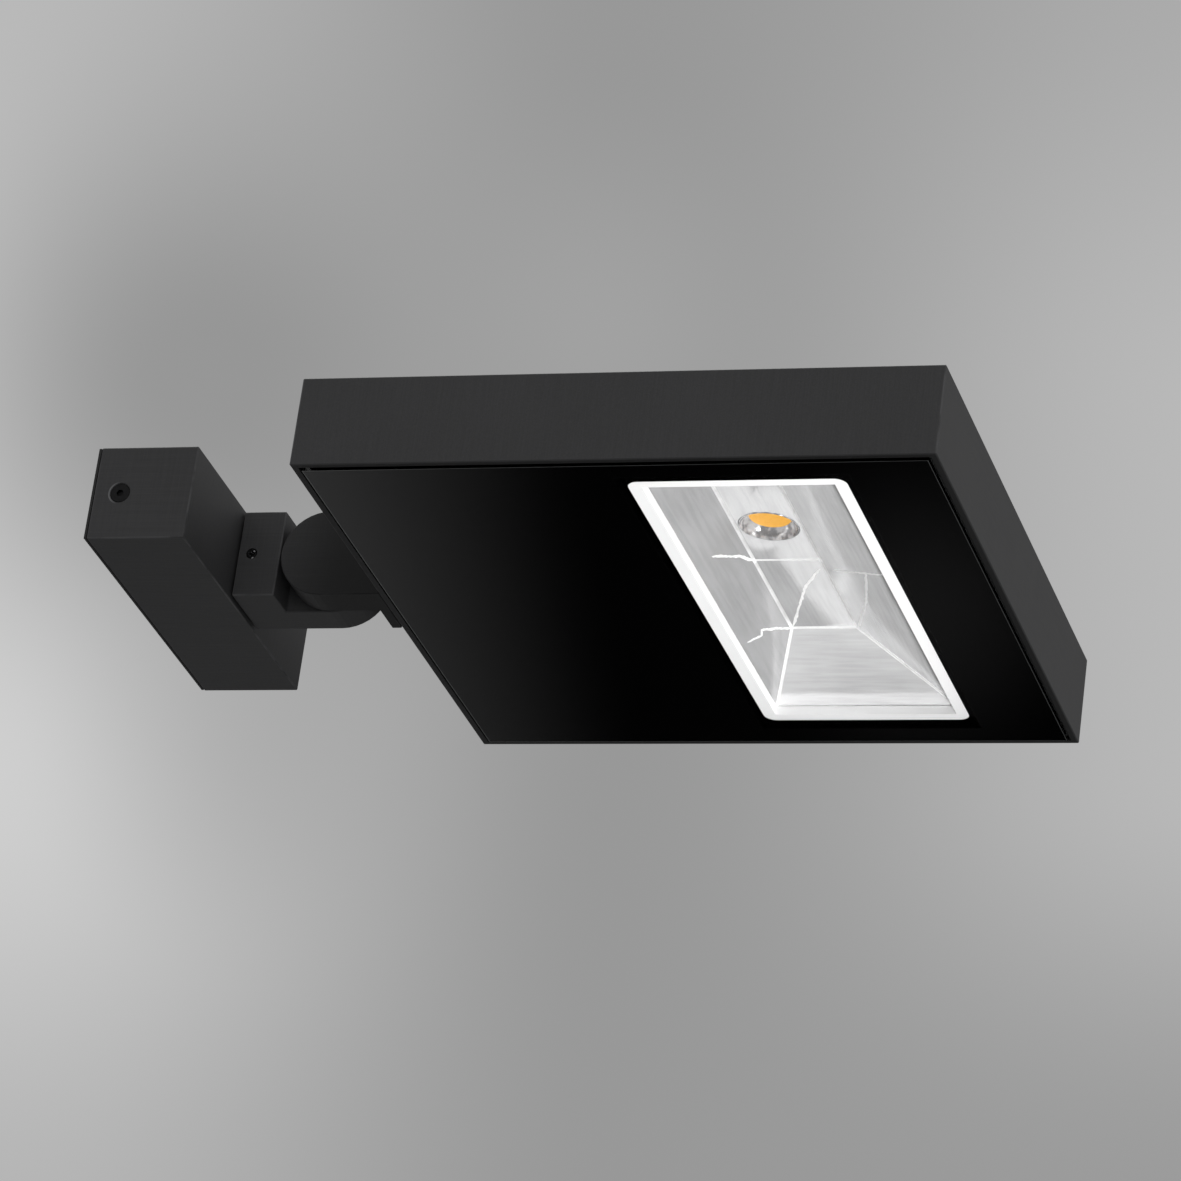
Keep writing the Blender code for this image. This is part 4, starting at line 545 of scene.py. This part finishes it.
def makePrint():
    look = windowLook
    low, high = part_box("cover_glass")
    inset = look["inset"]
    hole = roundedRectangle(look["centre"], look["size"], look["corner"], look["steps"])
    middle = ((low.x + high.x) / 2, (low.y + high.y) / 2)
    span = (high.x - low.x - 2 * inset, high.y - low.y - 2 * inset)
    outer = roundedRectangle(middle, span, look["outerCorner"], look["steps"])
    bm = bmesh.new()
    start = high.z + look["gap"]
    end = start + look["thickness"]
    rings = []
    for points, level in ((hole, start), (outer, start), (outer, end), (hole, end)):
        rings.append([bm.verts.new((x, y, level)) for x, y in points])
    count = len(hole)
    for k, ring in enumerate(rings):
        after = rings[(k + 1) % len(rings)]
        for i in range(count):
            j = (i + 1) % count
            bm.faces.new((ring[i], ring[j], after[j], after[i]))
    piece = makePiece("glass_print", bm, [enamelPrint()], "head", smooth=False)


makePrint()


print("folded reflector")
reflectorShape = {
    "mouthLow": (-0.11755, -0.37075), "mouthHigh": (0.12195, -0.28125), "mouthLevel": -0.0147,
    "roofLow": (-0.08605, -0.32875), "roofHigh": (0.08095, -0.29675), "roofLevel": 0.0083,
    "hem": 0.0012, "creaseAt": 0.0100, "creaseDrop": 0.0007, "farDrop": 0.0011,
    "foldWidth": 0.0009, "foldSegments": 3, "foldProfile": 0.5, "sheet": 0.0009,
    "ledAt": (-0.024, -0.31275), "holeRadius": 0.0145, "holeSteps": 64, "cutterDepth": 0.012,
}


def makeReflector():
    s = reflectorShape
    bm = bmesh.new()
    roofSheet, roomSide, end, fold, wallSide = range(5)  # the order of its materials

    def corner(x, y, z):
        return bm.verts.new((x, y, z))

    (mx0, my0), (mx1, my1), mz = s["mouthLow"], s["mouthHigh"], s["mouthLevel"]
    (rx0, ry0), (rx1, ry1), rz = s["roofLow"], s["roofHigh"], s["roofLevel"]
    cx = s["creaseAt"]
    share = (cx - rx0) / (rx1 - rx0)
    creaseX = mx0 + (mx1 - mx0) * share

    def rim(out):  # six corners round the mouth, the two middle ones beside the roof's crease
        across = (mx0 - out, creaseX, mx1 + out)
        return ([corner(x, my0 - out, mz) for x in across]
                + [corner(x, my1 + out, mz) for x in reversed(across)])

    hemRing = rim(s["hem"])
    mouth = rim(0.0)
    roof = [corner(rx0, ry0, rz), corner(cx, ry0, rz - s["creaseDrop"]), corner(rx1, ry0, rz - s["farDrop"]),
            corner(rx1, ry1, rz - s["farDrop"]), corner(cx, ry1, rz - s["creaseDrop"]), corner(rx0, ry1, rz)]
    for i in range(6):
        j = (i + 1) % 6
        bm.faces.new((hemRing[i], hemRing[j], mouth[j], mouth[i])).material_index = fold
    for i, facet in enumerate((roomSide, roomSide, end, wallSide, wallSide, end)):
        j = (i + 1) % 6
        bm.faces.new((mouth[i], mouth[j], roof[j], roof[i])).material_index = facet
    for corners in ((roof[0], roof[1], roof[4], roof[5]), (roof[1], roof[2], roof[3], roof[4])):
        bm.faces.new(corners).material_index = roofSheet
    pairs = [(roof[i], roof[(i + 1) % 6]) for i in range(6)]
    pairs += [(mouth[i], roof[i]) for i in (0, 2, 3, 5)]
    pairs.append((roof[1], roof[4]))
    folds = [bm.edges.get(pair) for pair in pairs]
    bmesh.ops.recalc_face_normals(bm, faces=bm.faces)
    bmesh.ops.bevel(bm, geom=folds, offset=s["foldWidth"], offset_type="OFFSET", segments=s["foldSegments"],
                    profile=s["foldProfile"], affect="EDGES", material=fold, clamp_overlap=True)
    materials = [slotMaterials["bright_aluminium"], reflectorSheet("reflector_room_side"),
                 reflectorSheet("reflector_end"), foldSkin("reflector_fold", partlyPlain=True),
                 reflectorSheet("reflector_wall_side")]
    return makePiece("reflector_sheet", bm, materials, "head")


def cutAndThicken(piece):
    s = reflectorShape
    cutterMesh = bmesh.new()
    cut = bmesh.ops.create_cone(cutterMesh, cap_ends=True, segments=s["holeSteps"], radius1=s["holeRadius"],
                                radius2=s["holeRadius"], depth=s["cutterDepth"])
    for vert in cut["verts"]:
        vert.co += Vector((*s["ledAt"], s["roofLevel"]))
    mesh = bpy.data.meshes.new("hole_cutter")
    cutterMesh.to_mesh(mesh)
    cutterMesh.free()
    cutter = bpy.data.objects.new("hole_cutter", mesh)
    bpy.context.scene.collection.objects.link(cutter)
    sheet = piece.modifiers.new("sheet", "SOLIDIFY")
    sheet.thickness = s["sheet"]
    sheet.offset = -1.0
    sheet.use_even_offset = True
    hole = piece.modifiers.new("hole", "BOOLEAN")
    hole.operation = "DIFFERENCE"
    hole.solver = "EXACT"
    hole.object = cutter
    bpy.context.view_layer.update()
    graph = bpy.context.evaluated_depsgraph_get()
    done = bpy.data.meshes.new_from_object(piece.evaluated_get(graph))
    piece.modifiers.clear()
    piece.data = done
    bpy.data.objects.remove(cutter, do_unlink=True)
    return piece


reflector = cutAndThicken(makeReflector())
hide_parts("reflector")

# Painted reflections: white raised lines where the facets mirror the folds, running on across the facets.
# Each point is a length along the head, then a share of the way across its facet: from the roof to the mouth
# on a side, from the wall side to the room side on the roof
paintedFoldReflections = {
    "width": 0.0007, "height": 0.00016, "sunk": 0.00008, "lift": 0.00003, "jagged": 0.00022,
    "spacing": 0.0016, "thinnest": 0.7, "thickest": 1.25, "taperLeast": 0.25, "taperSteps": 3, "seed": 7,
    "lines": [
        ("wallSide", [(0.0810, 0.02), (0.0700, 0.27), (0.0598, 0.53), (0.0640, 0.57), (0.0574, 0.88)]),
        ("wallSide", [(0.0100, 0.02), (-0.0023, 0.19), (-0.0227, 0.64)]),
        ("roof", [(0.0800, 0.03), (0.0374, 0.56), (0.0203, 0.90)]),
        ("roomSide", [(0.0809, 0.02), (0.0339, 0.41), (-0.0046, 0.64)]),
        ("roomSide", [(0.0169, 0.10), (0.0010, 0.52), (-0.0136, 0.91)]),
        ("roomSide", [(0.0792, 0.03), (0.0992, 0.49), (0.1188, 0.97)]),
    ],
}


def facetPoint(side, x, share):  # a place on the sheet's inner face, and the way out of that face
    s = reflectorShape
    (mx0, my0), (mx1, my1), mz = s["mouthLow"], s["mouthHigh"], s["mouthLevel"]
    (rx0, ry0), (rx1, ry1), rz = s["roofLow"], s["roofHigh"], s["roofLevel"]
    crease = s["creaseAt"]
    if x < crease:
        roofDrop = s["creaseDrop"] * (x - rx0) / (crease - rx0)
    else:
        roofDrop = s["creaseDrop"] + (s["farDrop"] - s["creaseDrop"]) * (x - crease) / (rx1 - crease)
    high = rz - roofDrop
    if side == "roof":
        return Vector((x, ry1 + (ry0 - ry1) * share, high)), Vector((0.0, 0.0, -1.0))
    roofY, mouthY = (ry1, my1) if side == "wallSide" else (ry0, my0)
    across = Vector((0.0, mouthY - roofY, mz - high))
    out = Vector((0.0, across.z, -across.y)).normalized()
    if out.z > 0:
        out = -out
    return Vector((x, roofY, high)) + across * share, out


def makePaintedFoldReflections():
    s = paintedFoldReflections
    shake = random.Random(s["seed"])
    bm = bmesh.new()
    least, steps = s["taperLeast"], s["taperSteps"]
    for side, points in s["lines"]:
        stations = []
        for (x0, t0), (x1, t1) in zip(points, points[1:]):
            start, out = facetPoint(side, x0, t0)
            end, out = facetPoint(side, x1, t1)
            count = max(2, round((end - start).length / s["spacing"]))
            stations += [facetPoint(side, x0 + (x1 - x0) * i / count, t0 + (t1 - t0) * i / count)
                         for i in range(count)]
        stations.append(facetPoint(side, *points[-1]))
        rings = []
        for i, (place, out) in enumerate(stations):
            before, after = stations[max(i - 1, 0)][0], stations[min(i + 1, len(stations) - 1)][0]
            along = (after - before).normalized()
            flank = along.cross(out).normalized()
            taper = min(1.0, least + i / steps, least + (len(stations) - 1 - i) / steps)
            half = s["width"] * taper * shake.uniform(s["thinnest"], s["thickest"])
            middle = place + flank * shake.uniform(-s["jagged"], s["jagged"])
            rings.append([bm.verts.new(middle + flank * half - out * s["sunk"]),
                          bm.verts.new(middle + flank * half + out * s["lift"]),
                          bm.verts.new(middle + out * s["height"]),
                          bm.verts.new(middle - flank * half + out * s["lift"]),
                          bm.verts.new(middle - flank * half - out * s["sunk"])])
        for ring, after in zip(rings, rings[1:]):
            for k in range(len(ring)):
                m = (k + 1) % len(ring)
                bm.faces.new((ring[k], ring[m], after[m], after[k]))
        bm.faces.new(rings[0])
        bm.faces.new(rings[-1])
    # painted reflections of the folds, as white raised lines
    piece = makePiece("bend_lines", bm, [foldSkin("painted_fold_reflection")], "head")


makePaintedFoldReflections()


print("ring round the light source")
cupShape = {"at": (-0.024, -0.31275), "mouth": 0.0136, "throat": 0.0103, "low": 0.0078, "seat": 0.0096,
            "top": 0.0128, "lip": 0.0006, "outer": 0.0210, "bow": 0.0007, "steps": 128, "curveSteps": 8}


def turn(bm, profile, at, steps):
    rings = []
    for radius, level in profile:
        rings.append([bm.verts.new((at[0] + radius * math.cos(2 * math.pi * i / steps),
                                    at[1] + radius * math.sin(2 * math.pi * i / steps), level))
                      for i in range(steps)])
    for k, ring in enumerate(rings):
        after = rings[(k + 1) % len(rings)]
        for i in range(steps):
            j = (i + 1) % steps
            bm.faces.new((ring[i], ring[j], after[j], after[i]))


def makeCup():
    s = cupShape
    bm = bmesh.new()
    profile = []
    for i in range(s["curveSteps"] + 1):  # the inside wall bows out like a small dish
        t = i / s["curveSteps"]
        bow = s["bow"] * math.sin(math.pi * t)
        radius = s["throat"] + (s["mouth"] - s["throat"]) * t + bow
        profile.append((radius, s["top"] + (s["low"] - s["top"]) * t))
    for i in range(1, s["curveSteps"]):  # rolled lip
        angle = math.pi * (1 - i / s["curveSteps"])
        profile.append((s["mouth"] + s["lip"] / 2 + s["lip"] / 2 * math.cos(angle),
                        s["low"] - s["lip"] / 3 * math.sin(angle)))
    profile.append((s["mouth"] + s["lip"], s["low"]))
    profile.append((s["mouth"] + s["lip"], s["seat"]))
    profile.append((s["outer"], s["seat"]))
    profile.append((s["outer"], s["top"]))
    turn(bm, profile, s["at"], s["steps"])
    piece = makePiece("light_cup", bm, [slotMaterials["chrome_ring"]], "head")
    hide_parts("led_holder")


makeCup()


print("studio")
studio = {
    "floorLevel": -2.9, "floorSize": 90.0, "floorTone": (0.55, 0.55, 0.55), "floorPaler": 1.06,
    "cloudScale": 1.2, "cloudShare": 0.3, "floorRough": 0.85,
    "lamps": {  # place, aim, size, power
        "front": ((0.6, -2.9, 0.9), (0.0, -0.2, 0.0), 1.8, 20.5),
        "near": ((-2.6, -0.75, 0.3), (0.0, -0.2, 0.0), 1.4, 9.0),
        "low": ((0.2, -1.7, -1.6), (0.0, -0.1, 0.0), 1.2, 0.3),
        "top": ((0.3, 0.1, 2.6), (0.0, -0.2, 0.0), 2.0, 26.0),
    },
}


def addToStage(name, corners, material):
    bm = bmesh.new()
    bm.faces.new([bm.verts.new(corner) for corner in corners])
    mesh = bpy.data.meshes.new(name)
    bm.to_mesh(mesh)
    bm.free()
    mesh.materials.append(material)
    sheet = bpy.data.objects.new(name, mesh)
    bpy.context.scene.collection.objects.link(sheet)
    return sheet


def makeFloor():
    look = studio
    half = look["floorSize"] / 2
    g = finishGraph("studio_floor")
    paler = tuple(c * look["floorPaler"] for c in look["floorTone"])
    base = g.mix(g.noise(look["cloudScale"]) * look["cloudShare"], look["floorTone"], paler)
    corners = ((-half, -half), (half, -half), (half, half), (-half, half))
    addToStage("studio_floor", [(x, y, look["floorLevel"]) for x, y in corners],
               g.finish(Base_Color=base, Roughness=look["floorRough"]))


def aim(thing, place, target):
    thing.location = place
    thing.rotation_euler = (Vector(target) - Vector(place)).to_track_quat("-Z", "Y").to_euler()


def addLamp(name, kind, place, target, power):
    light = bpy.data.lights.new(name, kind)
    light.energy = power
    lamp = bpy.data.objects.new(name, light)
    lamp.visible_camera = False
    bpy.context.scene.collection.objects.link(lamp)
    aim(lamp, place, target)
    return light


def makeLamps():
    for name, (place, target, size, power) in studio["lamps"].items():
        light = addLamp(name + "_softbox", "AREA", place, target, power)
        light.shape = "SQUARE"
        light.size = size


# A strip lamp and a graded dark card stand where the glass mirrors them towards the photograph's viewpoint.
# A spot shines in from that side. Both lamps light the window's parts alone, the card keeps the print black
glassLight = {
    "mirrored": (0.8536, 0.3037, -0.4232), "windowCentre": (0.0022, -0.326, -0.0228),
    "lampAway": 1.0, "lampSize": (0.31, 0.115), "lampPower": 0.085,
    "cardAway": 2.2, "cardHalfWidth": 0.62, "cardHalfHeight": 0.42, "cardRough": 0.9,
    "cardDark": (0.004, 0.004, 0.004), "cardPale": (0.60, 0.60, 0.60), "fadeSlant": 0.35, "fadeFrom": 0.075,
    "fadeTo": 0.489, "patchAt": (0.17, -0.02), "patchReach": 0.16, "patchTone": (0.10, 0.10, 0.10),
    "spotPlace": (-0.31, -1.08, -0.97), "spotAside": (-0.035, 0.0, 0.0), "spotReach": 0.24, "spotPower": 90.0,
    "spotRadius": 0.08, "spotBlend": 0.6,
}


def makeGlassLight():
    look = glassLight
    centre = Vector(look["windowCentre"])
    away = Vector(look["mirrored"]).normalized()
    straightUp = Vector((0.0, 0.0, 1.0))
    side = away.cross(straightUp).normalized()  # towards the head's outer end
    rise = side.cross(away)
    place = centre + away * look["lampAway"]
    strip = addLamp("window_strip", "AREA", place, place + straightUp, look["lampPower"])
    strip.shape = "RECTANGLE"
    strip.size, strip.size_y = look["lampSize"]
    middle = centre + away * look["cardAway"]
    g = finishGraph("graded_card")
    slant = rise * look["fadeSlant"] - side
    fade = g.step(g.towards(slant) - middle.dot(slant), look["fadeFrom"], look["fadeTo"])
    alongSide, alongRise = look["patchAt"]
    patchPlace = middle + side * alongSide + rise * alongRise  # mirrored right of the window
    apart = g.distance(g.place, patchPlace)
    patch = g.mix(g.step(apart, 0.0, look["patchReach"]), look["patchTone"], look["cardDark"])
    material = g.finish(Base_Color=g.mix(fade, patch, look["cardPale"]), Roughness=look["cardRough"])
    g.shader.inputs["Specular IOR Level"].default_value = 0.0
    corners = [middle + side * (u * look["cardHalfWidth"]) + rise * (v * look["cardHalfHeight"])
               for u, v in ((-1, -1), (1, -1), (1, 1), (-1, 1))]
    card = addToStage("graded_card", corners, material)
    card.visible_camera = False
    place = Vector(look["spotPlace"])
    spot = addLamp("window_spot", "SPOT", place, centre + Vector(look["spotAside"]), look["spotPower"])
    spot.shadow_soft_size = look["spotRadius"]
    spot.spot_size = 2 * math.atan(look["spotReach"] / (centre - place).length)
    spot.spot_blend = look["spotBlend"]
    lit = bpy.data.collections.new("window_parts")
    for piece in windowParts:
        lit.objects.link(piece)
    for name in ("window_spot", "window_strip"):
        bpy.data.objects[name].light_linking.receiver_collection = lit


# Soft grey air: darker in the middle of the photograph's view and lighter to its sides, with soft patches
airLook = {
    "across": (0.2766, -0.9527, 0.1258), "up": (-0.4414, -0.0097, 0.8973), "middle": 0.004, "halfView": 0.105,
    "dark": (0.315, 0.315, 0.315), "left": (0.62, 0.62, 0.62), "right": (0.485, 0.485, 0.485),
    "levelFrom": 0.03, "cornerLess": 0.45, "lowLeftLess": 0.12, "lowRightLess": 0.85,
    "patches": [  # the place, reach, share and tone of each: the first two are painted shadow, the third painted light
        ((-0.064, 0.036), (0.006, 0.072), 0.92, (0.288, 0.288, 0.288)),
        ((-0.057, -0.027), (0.0, 0.042), 0.40, (0.315, 0.315, 0.315)),
        ((0.002, 0.044), (0.0, 0.045), 1.0, (0.358, 0.358, 0.358)),
    ],
    "wallSide": (0.50, 0.50, 0.50), "roomSide": (0.27, 0.27, 0.27), "sideFrom": 0.14, "sideTo": 0.45,
    "strength": 1.0,
}


def makeAir():
    look = airLook
    world = bpy.data.worlds.new("studio_air")
    bpy.context.scene.world = world
    g = Graph(world, "Background", "Generated")
    across = g.towards(look["across"])
    high = g.towards(look["up"])
    toLeft = g.step(look["middle"] - across, 0.0, look["halfView"])
    toRight = g.step(across - look["middle"], 0.0, look["halfView"])
    level = g.add("ShaderNodeMath", {"operation": "ABSOLUTE"}, {0: high})
    corner = 1 - g.step(level, look["levelFrom"], look["halfView"]) * look["cornerLess"]
    low = g.step(0.0 - high, look["levelFrom"], look["halfView"])
    tone = g.mix(toLeft * corner * (1 - low * look["lowLeftLess"]), look["dark"], look["left"])
    tone = g.mix(toRight * corner * (1 - low * look["lowRightLess"]), tone, look["right"])
    aside = g.add("ShaderNodeCombineXYZ", {}, {"X": across, "Y": high})
    # soft patches of painted shadow and painted light
    for place, (near, far), share, patchTone in look["patches"]:
        beyond = g.step(g.distance(aside, (*place, 0.0)), near, far)
        tone = g.mix((1 - beyond) * share, tone, patchTone)
    tone = g.mix(g.step(across, look["sideFrom"], look["sideTo"]), tone, look["roomSide"])
    tone = g.mix(g.step(0.0 - across, look["sideFrom"], look["sideTo"]), tone, look["wallSide"])
    g.shader.inputs["Strength"].default_value = look["strength"]
    g.finish(Color=tone)
    bpy.context.scene.view_settings.view_transform = "Standard"


cameraLook = {"place": (-2.3757, -1.0675, -1.1901), "forward": (0.8536, 0.3037, 0.4232),
              "up": (-0.4414, -0.0097, 0.8973), "lens": 181.70, "sensor": 36.0, "nearest": 0.05,
              "farthest": 60.0}


def makeCamera():
    data = bpy.data.cameras.new("camera")
    data.lens = cameraLook["lens"]
    data.sensor_width = cameraLook["sensor"]
    data.clip_start = cameraLook["nearest"]
    data.clip_end = cameraLook["farthest"]
    camera = bpy.data.objects.new("camera", data)
    bpy.context.scene.collection.objects.link(camera)
    forward = Vector(cameraLook["forward"]).normalized()
    right = forward.cross(Vector(cameraLook["up"])).normalized()
    up = right.cross(forward)
    matrix = Matrix((right, up, -forward)).transposed().to_4x4()
    matrix.translation = Vector(cameraLook["place"])
    camera.matrix_world = matrix
    bpy.context.scene.camera = camera


windowParts = [bpy.data.objects[name] for name in ("reflector_sheet", "light_cup", "bend_lines")]
windowParts += [nodes[name] for name in ("reflector_bezel", "led_phosphor", "led_board", "glass_gasket")]
makeFloor()
makeLamps()
makeGlassLight()
makeAir()
makeCamera()
